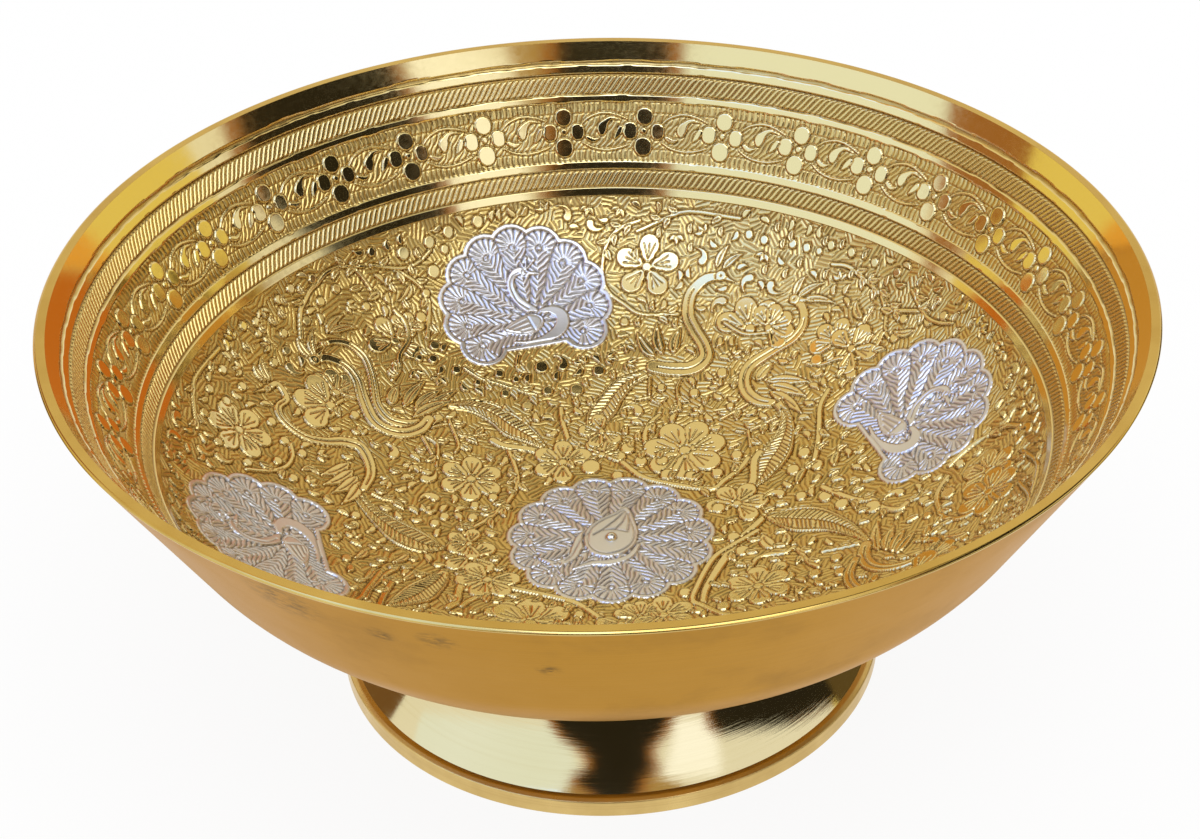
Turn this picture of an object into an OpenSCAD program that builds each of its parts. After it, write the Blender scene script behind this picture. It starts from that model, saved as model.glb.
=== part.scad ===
// Footed offering bowl: a thick turned bowl with engraved bands inside, on a
// spun hollow foot, the two held by one rivet through the centre.
// Millimetres, Z up, origin on the table under the middle of the bowl.

/* [View] */
// Piece to show

/* [Bowl] */
// Outside diameter over the rim
rim_d = 203; // [180:1:230]
// Height of the rim above the table
rim_h = 82; // [74:1:95]
// Wall thickness, square to the wall
wall_t = 2; // [1.6:0.1:3]
// Lean of the straight upper wall from upright, in degrees
wall_lean = 30.7; // [27:0.1:33]
// Length of the straight upper wall, down its slope
wall_straight = 33.5; // [33.3:0.1:36]
// Reach of the lower curve from the end of the straight wall
curve_reach = 25; // [20:1:28]
// Radius at which the lower curve turns level
curve_level_r = 35; // [30:1:40]
// Diameter of the flat seat in the middle of the bowl's underside
bowl_seat_d = 37; // [32:1:42]
// Height of that seat above the table
seat_h = 21.9; // [19:0.1:26]
// Bevel on the outer corner of the lip
lip_bevel = 0.4; // [0.2:0.1:0.8]

/* [Engraved bands] */
// Plain polished band under the lip
lip_band_w = 4.2; // [3:0.1:5]
// Hairline groove below the lip band
hairline_w = 0.8; // [0.5:0.1:1.2]
// Depth of the hairline groove
hairline_depth = 0.25; // [0.1:0.05:0.4]
// Plain ring above the upper rope band
top_ring_w = 1.9; // [1:0.1:2.4]
// Upper rope band
upper_rope_w = 4.5; // [3:0.1:5]
// Plain ring above the flower frieze
upper_ring_w = 1.6; // [1:0.1:2]
// Flower frieze
frieze_w = 12.7; // [10:0.1:13]
// Plain ring below the flower frieze
lower_ring_w = 1.8; // [1:0.1:2]
// Lower rope band
lower_rope_w = 3.8; // [3:0.1:4]
// Depth of the carved ground below the plain rings
carve_depth = 0.4; // [0.2:0.05:0.6]

/* [Foot] */
// Diameter of the foot where it stands
foot_d = 105; // [98:1:112]
// Height of the plain upright edge of the foot
foot_edge_h = 3.2; // [2:0.1:5]
// Width of the turned step above the edge
foot_step_w = 1.8; // [1:0.1:2.5]
// Height of the turned step above the edge
foot_step_h = 0.5; // [0.3:0.1:1]
// Diameter of the foot at its neck, where it meets the bowl's curved underside
neck_d = 80; // [74:1:84]
// Wall thickness of the foot
foot_t = 2; // [1.5:0.1:3]
// Thickness of the foot's dished deck, on which the bowl lies
deck_t = 2; // [1.5:0.1:3]

/* [Rivet] */
// Diameter of the domed head inside the bowl
rivet_head_d = 2.6; // [2:0.1:6]
// Height of the domed head
rivet_head_h = 1; // [0.6:0.1:2]
// Diameter of the rivet's shank
rivet_d = 1.6; // [1.2:0.1:1.9]
// Gap all round the shank in its holes
rivet_gap = 0.1; // [0.05:0.05:0.2]
// Diameter of the washer under the deck
washer_d = 9; // [6:0.5:12]
// Thickness of the washer
washer_t = 0.8; // [0.5:0.1:1.5]
// Diameter of the closed tail under the washer
tail_d = 3.4; // [2.6:0.1:5]
// Height of the closed tail
tail_h = 1.2; // [0.8:0.1:2]

/* [Medallions] */
// Radius on which a fan's scallops are centred
fan_r = 13.4; // [12:0.2:14.6]
// Radius of each scallop
scallop_r = 5; // [4.4:0.1:5.6]
// Number of scallops on a wall medallion
fan_scallops = 11; // [9:1:13]
// Arc that the scallops take up, in degrees
fan_sweep = 253; // [240:1:262]
// Distance from the fan's centre to the straight edge between its end scallops
hub_drop = 10.2; // [9.6:0.1:11]
// Radius on which the centre medallion's scallops are centred
round_r = 15.4; // [14:0.2:17]
// Number of scallops on the centre medallion
round_scallops = 15; // [12:1:18]
// Width of the raised border
border_w = 0.9; // [0.6:0.1:1.4]
// Depth of the medallion's ground below its border
medallion_sink = 0.2; // [0.1:0.05:0.3]
// Diameter of the ring round each feather's eye
eye_d = 3.8; // [3:0.1:4.4]
// Diameter of the button in each eye
eye_button_d = 1.4; // [1:0.1:1.8]
// Width of a raised line: feather shafts and eye rings
raised_line_w = 0.6; // [0.4:0.05:0.8]
// Bearing of the back medallion, in degrees from the right
back_bearing = 105; // [98:0.5:112]
// Bearing of the right medallion
right_bearing = 19; // [12:0.5:26]
// Bearing of the front medallion
front_bearing = 285; // [278:0.5:292]
// Bearing of the left medallion
left_bearing = 193.5; // [187:0.5:200]

/* [Hidden] */
$fn = 96;

rim_r = rim_d / 2;
foot_r = foot_d / 2;
neck_r = neck_d / 2;
bowl_seat_r = bowl_seat_d / 2;
curve_steps = 22;
flare_steps = 14;
// How far a cutter runs past what it cuts.
overrun = 1;
rivet_r = rivet_d / 2;
hole_r = rivet_r + rivet_gap;

// Where each fan sits on the curved wall, from its top (0) to its level end (1).
back_place_share = 0.312;
right_place_share = 0.337;
front_place_share = 0.33;
left_place_share = 0.337;
// Handles of the foot's flare, as shares of its width and its height.
flare_low_share = [0.45, 0.24];
flare_high_share = [0.90, 0.60];

// The peacock of a fan, in shares of the fan's reach: X to the right, Y up the wall.
fan_hub_shares = [0.06, -0.20];
fan_wing_shares = [
    [-0.34, -0.28], [-0.24, -0.20], [-0.12, -0.145], [-0.02, -0.115], [0.065, -0.11],
    [0.16, -0.175], [0.14, -0.28], [0.01, -0.37], [-0.16, -0.36],
];
// Centre line and width of the neck, from the body to the head.
fan_neck_shares = [
    [0.07, -0.08, 0.12], [-0.03, 0.03, 0.11], [-0.10, 0.16, 0.095], [-0.115, 0.29, 0.085],
    [-0.065, 0.40, 0.08], [0.02, 0.445, 0.09], [0.10, 0.40, 0.10],
];
fan_beak_shares = [[0.09, 0.41, 0.07], [0.25, 0.37, 0.02]];
// Centre line and width of the breast and belly, round into the tail's root.
fan_belly_shares = [
    [0.13, -0.10, 0.05], [0.27, -0.10, 0.10], [0.37, -0.18, 0.14], [0.36, -0.31, 0.15],
    [0.26, -0.41, 0.13], [0.10, -0.47, 0.09], [-0.06, -0.48, 0.06], [-0.22, -0.45, 0.03],
];

// The peacock of the centre medallion, in shares of that medallion's reach.
round_hub_shares = [-0.02, -0.02];
round_wing_shares = [
    [0.16, 0.485], [0.225, 0.275], [0.257, 0.086], [0.225, -0.098], [0.135, -0.225], [-0.012, -0.294],
    [-0.152, -0.257], [-0.24, -0.135], [-0.257, 0.03], [-0.208, 0.184], [-0.086, 0.319], [0.049, 0.412],
];
round_neck_shares = [
    [-0.17, 0.135, 0.13], [-0.28, 0.01, 0.11], [-0.325, -0.135, 0.10], [-0.365, -0.27, 0.085],
    [-0.44, -0.35, 0.08], [-0.525, -0.39, 0.10],
];
round_beak_shares = [[-0.52, -0.39, 0.07], [-0.68, -0.28, 0.02]];
round_belly_shares = [
    [0.257, -0.12, 0.04], [0.17, -0.295, 0.06], [0.0, -0.38, 0.075], [-0.185, -0.39, 0.06], [-0.355, -0.465, 0.03],
];
// Wall prisms run this far either side of the tangent plane.
cutter_reach = fan_r / 2;

// The wall runs down and in along wall_dir; wall_in points into the bowl.
wall_dir = [-sin(wall_lean), -cos(wall_lean)];
wall_in = [-cos(wall_lean), sin(wall_lean)];
lip_outer = [rim_r, rim_h - lip_bevel];
lip_inner = [rim_r - wall_t / cos(wall_lean) + lip_bevel * tan(wall_lean), rim_h];
wall_end = lip_outer + wall_dir * wall_straight;
curve_a = wall_end + wall_dir * curve_reach;
curve_b = [curve_level_r, seat_h];
curve_end = [bowl_seat_r, seat_h];

function bez(a, b, c, d, t) =
    a * pow(1 - t, 3) + b * 3 * t * pow(1 - t, 2) + c * 3 * t * t * (1 - t) + d * pow(t, 3);
function bez_dir(a, b, c, d, t) =
    (b - a) * 3 * pow(1 - t, 2) + (c - b) * 6 * t * (1 - t) + (d - c) * 3 * t * t;
function unit(v) = v / norm(v);
// Quarter turn clockwise: from the way down the wall to the way into the bowl.
function inward(v) = [v[1], -v[0]];

function wall_at(t) = bez(wall_end, curve_a, curve_b, curve_end, t);
function wall_way(t) = unit(bez_dir(wall_end, curve_a, curve_b, curve_end, t));

// Points down the curved wall to its level end, set in from its outer face.
function curve_line(set_in) =
    [for (i = [0:curve_steps])
        wall_at(i / curve_steps) + inward(wall_way(i / curve_steps)) * set_in];
function inside_of(line, r) = [for (p = line) if (p[0] < r) p];

// The outer face's points inside the foot's neck, and the place where the neck meets that face.
seated_line = inside_of(curve_line(0), neck_r);
last_free = curve_line(0)[curve_steps - len(seated_line)];
neck_fall = seated_line[0] - last_free;
neck_point = last_free + neck_fall * (neck_r - last_free[0]) / neck_fall[0];

// Width and depth of each band, from the lip down the straight wall.
bands = [
    [lip_band_w, 0],
    [hairline_w, hairline_depth],
    [top_ring_w, 0],
    [upper_rope_w, carve_depth],
    [upper_ring_w, 0],
    [frieze_w, carve_depth],
    [lower_ring_w, 0],
    [lower_rope_w, carve_depth],
];
function band_top(i) = i == 0 ? 0 : band_top(i - 1) + bands[i - 1][0];
function band_point(run, depth) = lip_inner + wall_dir * run - wall_in * depth;
function band_line() =
    [for (i = [0:len(bands) - 1])
        each [band_point(band_top(i), bands[i][1]),
              band_point(band_top(i) + bands[i][0], bands[i][1])]];

ring_set_in = wall_t;
ground_set_in = wall_t - carve_depth;
floor_h = seat_h + wall_t;
ground_h = seat_h + ground_set_in;

function reversed(list) = [for (i = [len(list) - 1:-1:0]) list[i]];

module bowl_section() {
    polygon(concat(
        [[0, seat_h]],
        reversed(curve_line(0)),
        [lip_outer, [rim_r - lip_bevel, rim_h]],
        band_line(),
        [wall_end + wall_in * ring_set_in],
        curve_line(ground_set_in),
        [[0, ground_h]]
    ));
}

module bowl() {
    color("goldenrod")
    difference() {
        rotate_extrude() bowl_section();
        translate([0, 0, seat_h - wall_t])
            cylinder(r = hole_r, h = 3 * wall_t);
    }
}

foot_flare_w = foot_r - foot_step_w - neck_r;
foot_flare_h = neck_point[1] - foot_edge_h - foot_step_h;
flare_a = [foot_r - foot_step_w, foot_edge_h + foot_step_h];
flare_b = flare_a + [-foot_flare_w * flare_low_share[0], foot_flare_h * flare_low_share[1]];
flare_c = flare_a + [-foot_flare_w * flare_high_share[0], foot_flare_h * flare_high_share[1]];
function flare_at(t) = bez(flare_a, flare_b, flare_c, neck_point, t);
function flare_way(t) = unit(bez_dir(flare_a, flare_b, flare_c, neck_point, t));
// Points up the flare, set in from its polished outer face.
function flare_line(set_in) =
    [for (i = [0:flare_steps])
        flare_at(i / flare_steps) + inward(flare_way(i / flare_steps)) * set_in];

// Outside of the foot: edge, flare, and the dish that the bowl's underside lies in.
module foot_outline() {
    polygon(concat(
        [[0, 0], [foot_r, 0], [foot_r, foot_edge_h], [foot_r - foot_step_w / 2, foot_edge_h + foot_step_h]],
        flare_line(0),
        seated_line,
        [[0, seat_h]]
    ));
}

// Space under the dished deck.
module under_deck() {
    under = inside_of(curve_line(-deck_t), foot_r);
    polygon(concat([[0, -overrun], [foot_r, -overrun], [foot_r, under[0][1]]], under, [[0, seat_h - deck_t]]));
}

// Space inside the flare's wall.
module inside_flare() {
    inner = flare_line(-foot_t);
    top = inner[flare_steps][1] + overrun;
    polygon(concat([[0, -overrun], [foot_r - foot_t, -overrun], [foot_r - foot_t, 0]], inner,
                   [[inner[flare_steps][0], top], [0, top]]));
}

module foot() {
    color("darkgoldenrod")
    difference() {
        rotate_extrude()
            difference() {
                foot_outline();
                intersection() {
                    under_deck();
                    inside_flare();
                }
            }
        translate([0, 0, seat_h - 2 * deck_t])
            cylinder(r = hole_r, h = 3 * deck_t);
    }
}

module rivet() {
    color("gainsboro") {
        // Shank from the head's seat down into the tail.
        translate([0, 0, seat_h - deck_t - washer_t])
            cylinder(r = rivet_r, h = floor_h - seat_h + deck_t + washer_t);
        translate([0, 0, floor_h]) dome(rivet_head_d / 2, rivet_head_h);
        translate([0, 0, seat_h - deck_t - washer_t]) mirror([0, 0, 1]) dome(tail_d / 2, tail_h);
    }
}

// Cap of a sphere, flat side down.
module dome(r, h) {
    ball_r = (r * r + h * h) / (2 * h);
    intersection() {
        translate([0, 0, h - ball_r]) sphere(r = ball_r);
        cylinder(r = 2 * r, h = 2 * h);
    }
}

module rivet_washer() {
    color("silver")
    translate([0, 0, seat_h - deck_t - washer_t])
    difference() {
        cylinder(d = washer_d, h = washer_t);
        translate([0, 0, -washer_t]) cylinder(r = hole_r, h = 3 * washer_t);
    }
}

// The skin between two depths of the curved wall, all the way round.
module wall_skin(low, high) {
    rotate_extrude()
        polygon(concat([[0, seat_h + low]], reversed(curve_line(low)),
                       curve_line(high), [[0, seat_h + high]]));
}

fan_reach = fan_r + scallop_r;
round_reach = round_r + scallop_r;
// Bearings of a medallion's scallops and feathers, in its own plane.
function bearings(count, sweep) =
    [for (i = [0:count - 1]) 90 + sweep / 2 - i * sweep / (sweep == 360 ? count : count - 1)];

// Scallops round a core, drawn in from their edge by inset.
module scallops(core_r, count, sweep, inset) {
    for (a = bearings(count, sweep))
        rotate(a) translate([core_r, 0]) circle(r = scallop_r - inset);
}

module fan_outline(inset) {
    scallops(fan_r, fan_scallops, fan_sweep, inset);
    intersection() {
        circle(r = fan_r);
        translate([-fan_reach, inset - hub_drop]) square([2 * fan_reach, 2 * fan_reach]);
    }
}

module round_outline(inset) {
    scallops(round_r, round_scallops, 360, inset);
    circle(r = round_r);
}

// A line whose points each carry a width, drawn as one outline: points are [x, y, width].
function xy(p) = [p[0], p[1]];
function line_way(line, i) =
    unit(xy(line[min(i + 1, len(line) - 1)]) - xy(line[max(i - 1, 0)]));
function line_side(line, i, side) =
    xy(line[i]) + side * line[i][2] / 2 * [-line_way(line, i)[1], line_way(line, i)[0]];
module brushed(line) {
    last = len(line) - 1;
    polygon(concat([for (i = [0:last]) line_side(line, i, 1)],
                   [for (i = [last:-1:0]) line_side(line, i, -1)]));
}

// A feather: its shaft from the hub to the eye, and the eye's ring and button.
module feather(hub, eye) {
    brushed([[hub[0], hub[1], raised_line_w], [eye[0], eye[1], raised_line_w]]);
    translate(eye) {
        circle(d = eye_button_d);
        difference() {
            circle(d = eye_d);
            circle(d = eye_d - 2 * raised_line_w);
        }
    }
}

// Everything that stands up from a medallion's ground: border, feathers and peacock.
module fan_figure() {
    difference() {
        fan_outline(0);
        fan_outline(border_w);
    }
    for (a = bearings(fan_scallops, fan_sweep))
        feather(fan_reach * fan_hub_shares, fan_r * [cos(a), sin(a)]);
    polygon(fan_reach * fan_wing_shares);
    brushed(fan_reach * fan_neck_shares);
    brushed(fan_reach * fan_beak_shares);
    brushed(fan_reach * fan_belly_shares);
}

module round_figure() {
    difference() {
        round_outline(0);
        round_outline(border_w);
    }
    for (a = bearings(round_scallops, 360))
        feather(round_reach * round_hub_shares, round_r * [cos(a), sin(a)]);
    polygon(round_reach * round_wing_shares);
    brushed(round_reach * round_neck_shares);
    brushed(round_reach * round_beak_shares);
    brushed(round_reach * round_belly_shares);
}

// Lays what follows on the curved wall at a bearing and a share of the curve: Y runs up the wall.
module on_wall(bearing, place) {
    way = wall_way(place);
    seat = wall_at(place) + inward(way) * ring_set_in;
    slope = atan2(-way[1], -way[0]);
    rotate([0, 0, bearing])
    translate([seat[0], 0, seat[1]])
    rotate([0, -slope, 0])
    rotate([0, 0, -90])
    linear_extrude(height = 2 * cutter_reach, center = true) children();
}

module wall_medallion(bearing, place) {
    color("lightgray") {
        intersection() {
            wall_skin(ground_set_in, ring_set_in - medallion_sink);
            on_wall(bearing, place) fan_outline(0);
        }
        intersection() {
            wall_skin(ground_set_in, ring_set_in);
            on_wall(bearing, place) fan_figure();
        }
    }
}

module back_medallion() wall_medallion(back_bearing, back_place_share);
module right_medallion() wall_medallion(right_bearing, right_place_share);
module front_medallion() wall_medallion(front_bearing, front_place_share);
module left_medallion() wall_medallion(left_bearing, left_place_share);

module centre_medallion() {
    color("lightgray")
    translate([0, 0, ground_h])
    difference() {
        union() {
            linear_extrude(height = carve_depth - medallion_sink) round_outline(0);
            linear_extrude(height = carve_depth) round_figure();
        }
        translate([0, 0, -carve_depth]) cylinder(r = hole_r, h = 3 * carve_depth);
    }
}

bowl();
foot();
rivet();
rivet_washer();
centre_medallion();
back_medallion();
right_medallion();
front_medallion();
left_medallion();
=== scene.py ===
"""Engraved brass offering bowl on a polished foot, dressed over its CAD frame."""
import math

import bpy
import numpy as np
from mathutils import Matrix, Vector


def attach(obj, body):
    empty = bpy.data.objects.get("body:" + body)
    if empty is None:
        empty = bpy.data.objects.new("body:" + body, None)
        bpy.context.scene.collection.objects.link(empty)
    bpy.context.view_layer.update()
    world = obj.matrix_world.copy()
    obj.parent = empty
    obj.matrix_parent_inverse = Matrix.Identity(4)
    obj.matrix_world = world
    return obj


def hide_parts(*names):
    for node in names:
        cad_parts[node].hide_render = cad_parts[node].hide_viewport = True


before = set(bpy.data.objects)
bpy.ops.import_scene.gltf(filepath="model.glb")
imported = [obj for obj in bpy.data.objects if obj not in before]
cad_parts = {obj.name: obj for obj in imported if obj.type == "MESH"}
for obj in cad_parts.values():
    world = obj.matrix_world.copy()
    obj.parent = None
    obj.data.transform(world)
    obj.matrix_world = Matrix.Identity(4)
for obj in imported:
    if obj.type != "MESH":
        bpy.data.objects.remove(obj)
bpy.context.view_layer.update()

# Sizes, in mm.
MM = 0.001
RIM_R, RIM_H, WALL_T, LIP_BEVEL = 101.5, 82.0, 2.0, 0.4
LEAN = math.radians(30.7)
WALL_STRAIGHT, CURVE_REACH, CURVE_LEVEL_R = 33.5, 25.0, 35.0
SEAT_H, SEAT_R, NECK_R = 21.9, 18.5, 40.0
FOOT_R, FOOT_EDGE_H, FOOT_STEP_W, FOOT_STEP_H, FOOT_T, DECK_T = 52.5, 3.2, 1.8, 0.5, 2.0, 2.0
FLARE_LOW, FLARE_HIGH = (0.45, 0.24), (0.90, 0.60)
HOLE_R = 0.9
CARVE = 0.4

# Bands down the straight wall from the lip's inner edge: start and end.
LIP_BAND, HAIRLINE, TOP_RING = (0.0, 4.2), (4.2, 5.0), (5.0, 6.9)
UPPER_ROPE, UPPER_RING = (6.9, 11.4), (11.4, 13.0)
FRIEZE, LOWER_RING = (13.0, 25.7), (25.7, 27.5)
LOWER_ROPE, LAST_RING = (27.5, 31.3), (31.3, 33.2)
UPPER_NOTCHES, LOWER_NOTCHES, FRIEZE_FLOWERS = 487, 421, 33
# Radii at which the ropes' notches, the frieze, the mesh's steps and the textures' widths are measured.
ROPE_R, FRIEZE_R, WIDEST_R, TEXTURE_R = 92.0, 90.0, 99.0, 50.0
FRIEZE_MID, HATCH_MID, HATCH_HALF = 19.2, 19.3, 3.9

# Medallions, as on the frame.
FAN_R, SCALLOP_R, FAN_SCALLOPS, FAN_SWEEP, HUB_DROP = 13.4, 5.0, 11, 253.0, 10.2
ROUND_R, ROUND_SCALLOPS, BORDER_W, SINK = 15.4, 15, 0.9, 0.2
BARB_PITCH, EYE_RAYS, MEDALLION_SHEET = 1.4, 17, 21
# Each wall medallion's bearing and its share of the way down the curved wall.
WALL_MEDALLIONS = {
    "back_medallion": (105.0, 0.312),
    "right_medallion": (19.0, 0.337),
    "front_medallion": (285.0, 0.33),
    "left_medallion": (193.5, 0.337),
}

# Depths of the carving: the field's ground, its chisel cuts, the trench round its figures and the lines on
# them; the medallions' feathers, their barbs, the dip round the bird and the moat inside the border; the
# bands' hatching, rope cuts and hairline.
FIELD_DROP, CHISEL_DEPTH, TRENCH_DEPTH, LINE_DEPTH = 0.20, 0.22, 0.38, 0.28
FEATHER_DROP, BARB_DEPTH, BIRD_DIP, MOAT_DEPTH = 0.28, 0.36, 0.16, 0.16
HATCH_DEPTH, ROPE_DEPTH, HAIRLINE_DEPTH = 0.24, 0.36, 0.25

# Step of the drawing rasters, how many steps from one vertex to the next, and pieces round the bowl.
STEP, MESH_EVERY, SECTORS = 0.1, 2, 8
# Raster value above which a spot counts as figure, and the blurred raster's value that trenches follow.
STANDS, EDGE_AT = 0.3, 0.24


# The bowl's section.
def bezier(a, b, c, d, t):
    """Points and directions of a cubic curve at the shares t."""
    t = np.asarray(t, float)[:, None]
    a, b, c, d = (np.asarray(p, float) for p in (a, b, c, d))
    at = a * (1 - t) ** 3 + b * 3 * t * (1 - t) ** 2 + c * 3 * t * t * (1 - t) + d * t ** 3
    way = (b - a) * 3 * (1 - t) ** 2 + (c - b) * 6 * t * (1 - t) + (d - c) * 3 * t * t
    return at, way / np.linalg.norm(way, axis=1, keepdims=True)


WALL_DIR = np.array([-math.sin(LEAN), -math.cos(LEAN)])
WALL_IN = np.array([-math.cos(LEAN), math.sin(LEAN)])
LIP_OUTER = np.array([RIM_R, RIM_H - LIP_BEVEL])
LIP_INNER = np.array([RIM_R - WALL_T / math.cos(LEAN) + LIP_BEVEL * math.tan(LEAN), RIM_H])
WALL_END = LIP_OUTER + WALL_DIR * WALL_STRAIGHT
CURVE = (WALL_END, WALL_END + WALL_DIR * CURVE_REACH, (CURVE_LEVEL_R, SEAT_H), (SEAT_R, SEAT_H))


class Profile:
    """The inner face at ring level: radius, height and normal against the way from the middle."""

    def __init__(self):
        at, way = bezier(*CURVE, np.linspace(0, 1, 400))
        inward = np.stack([way[:, 1], -way[:, 0]], 1)
        line = np.vstack([LIP_INNER, at + inward * WALL_T, [0, SEAT_H + WALL_T]])
        normal = np.vstack([WALL_IN, inward, [0, 1]])
        run = np.concatenate([[0], np.cumsum(np.linalg.norm(np.diff(line, axis=0), axis=1))])
        self.length = run[-1]
        self.rho = (self.length - run)[::-1]
        self.r, self.z = line[::-1, 0], line[::-1, 1]
        self.nr, self.nz = normal[::-1, 0], normal[::-1, 1]

    def at(self, rho):
        return [np.interp(rho, self.rho, v) for v in (self.r, self.z, self.nr, self.nz)]

    def place(self, rho, angle, height):
        """Points in space, in metres, of a height above ring level."""
        r, z, nr, nz = self.at(rho)
        out = (r + nr * height) * MM
        return np.stack([out * np.cos(angle), out * np.sin(angle), (z + nz * height) * MM], -1)


WALL = Profile()
FIELD_RHO = WALL.length - LAST_RING[1]


def toward(angle):
    """A step of length 1 in a direction."""
    return np.array([math.cos(angle), math.sin(angle)])


def run_along(line):
    """How far along a flat line each of its points is."""
    return np.concatenate([[0], np.cumsum(np.hypot(*np.diff(line, axis=0).T))])


# Drawing on rasters.
def blurred(a, sigma):
    """Gaussian blur of a raster, sigma in its own steps."""
    reach = max(1, int(3 * sigma))
    k = np.exp(-0.5 * (np.arange(-reach, reach + 1) / sigma) ** 2)
    k = (k / k.sum()).astype(np.float32)
    for axis in (0, 1):
        pad = [(0, 0), (0, 0)]
        pad[axis] = (reach, reach)
        wide = np.pad(a, pad, mode="edge")
        a = sum(w * (wide[i:i + a.shape[0]] if axis == 0 else wide[:, i:i + a.shape[1]])
                for i, w in enumerate(k))
    return a


def smooth(points, closed=False, parts=6):
    """A rounder line through given points; each may carry a width."""
    p = np.array(points, float)
    if closed:
        p = np.vstack([p[-1], p, p[0], p[1]])
    else:
        p = np.vstack([2 * p[0] - p[1], p, 2 * p[-1] - p[-2]])
    if p.shape[1] > 2:
        p[:, 2] = np.maximum(p[:, 2], 0.02)
    out = []
    t = np.linspace(0, 1, parts, endpoint=False)[:, None]
    for a, b, c, d in zip(p[:-3], p[1:-2], p[2:-1], p[3:]):
        out.append(0.5 * (2 * b + (c - a) * t + (2 * a - 5 * b + 4 * c - d) * t ** 2
                          + (3 * b - a - 3 * c + d) * t ** 3))
    if not closed:
        out.append(p[-2][None])
    return np.vstack(out)


def arc_leaf(start, end, width, bend=0.0, blunt=0.35, parts=9):
    """A leaf from start to end: widest at the share blunt, bowed sideways by bend of its length."""
    a, b = np.array(start, float), np.array(end, float)
    t = np.linspace(0, 1, parts)
    side = np.array([-(b - a)[1], (b - a)[0]])
    line = a + (b - a) * t[:, None] + side * (bend * np.sin(math.pi * t))[:, None]
    rise, fall = math.pi / 2 * t / blunt, math.pi / 2 * (t - blunt) / (1 - blunt)
    swell = np.where(t < blunt, np.sin(rise), np.cos(fall))
    return np.column_stack([line, np.maximum(width * swell, 0.05)])


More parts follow.
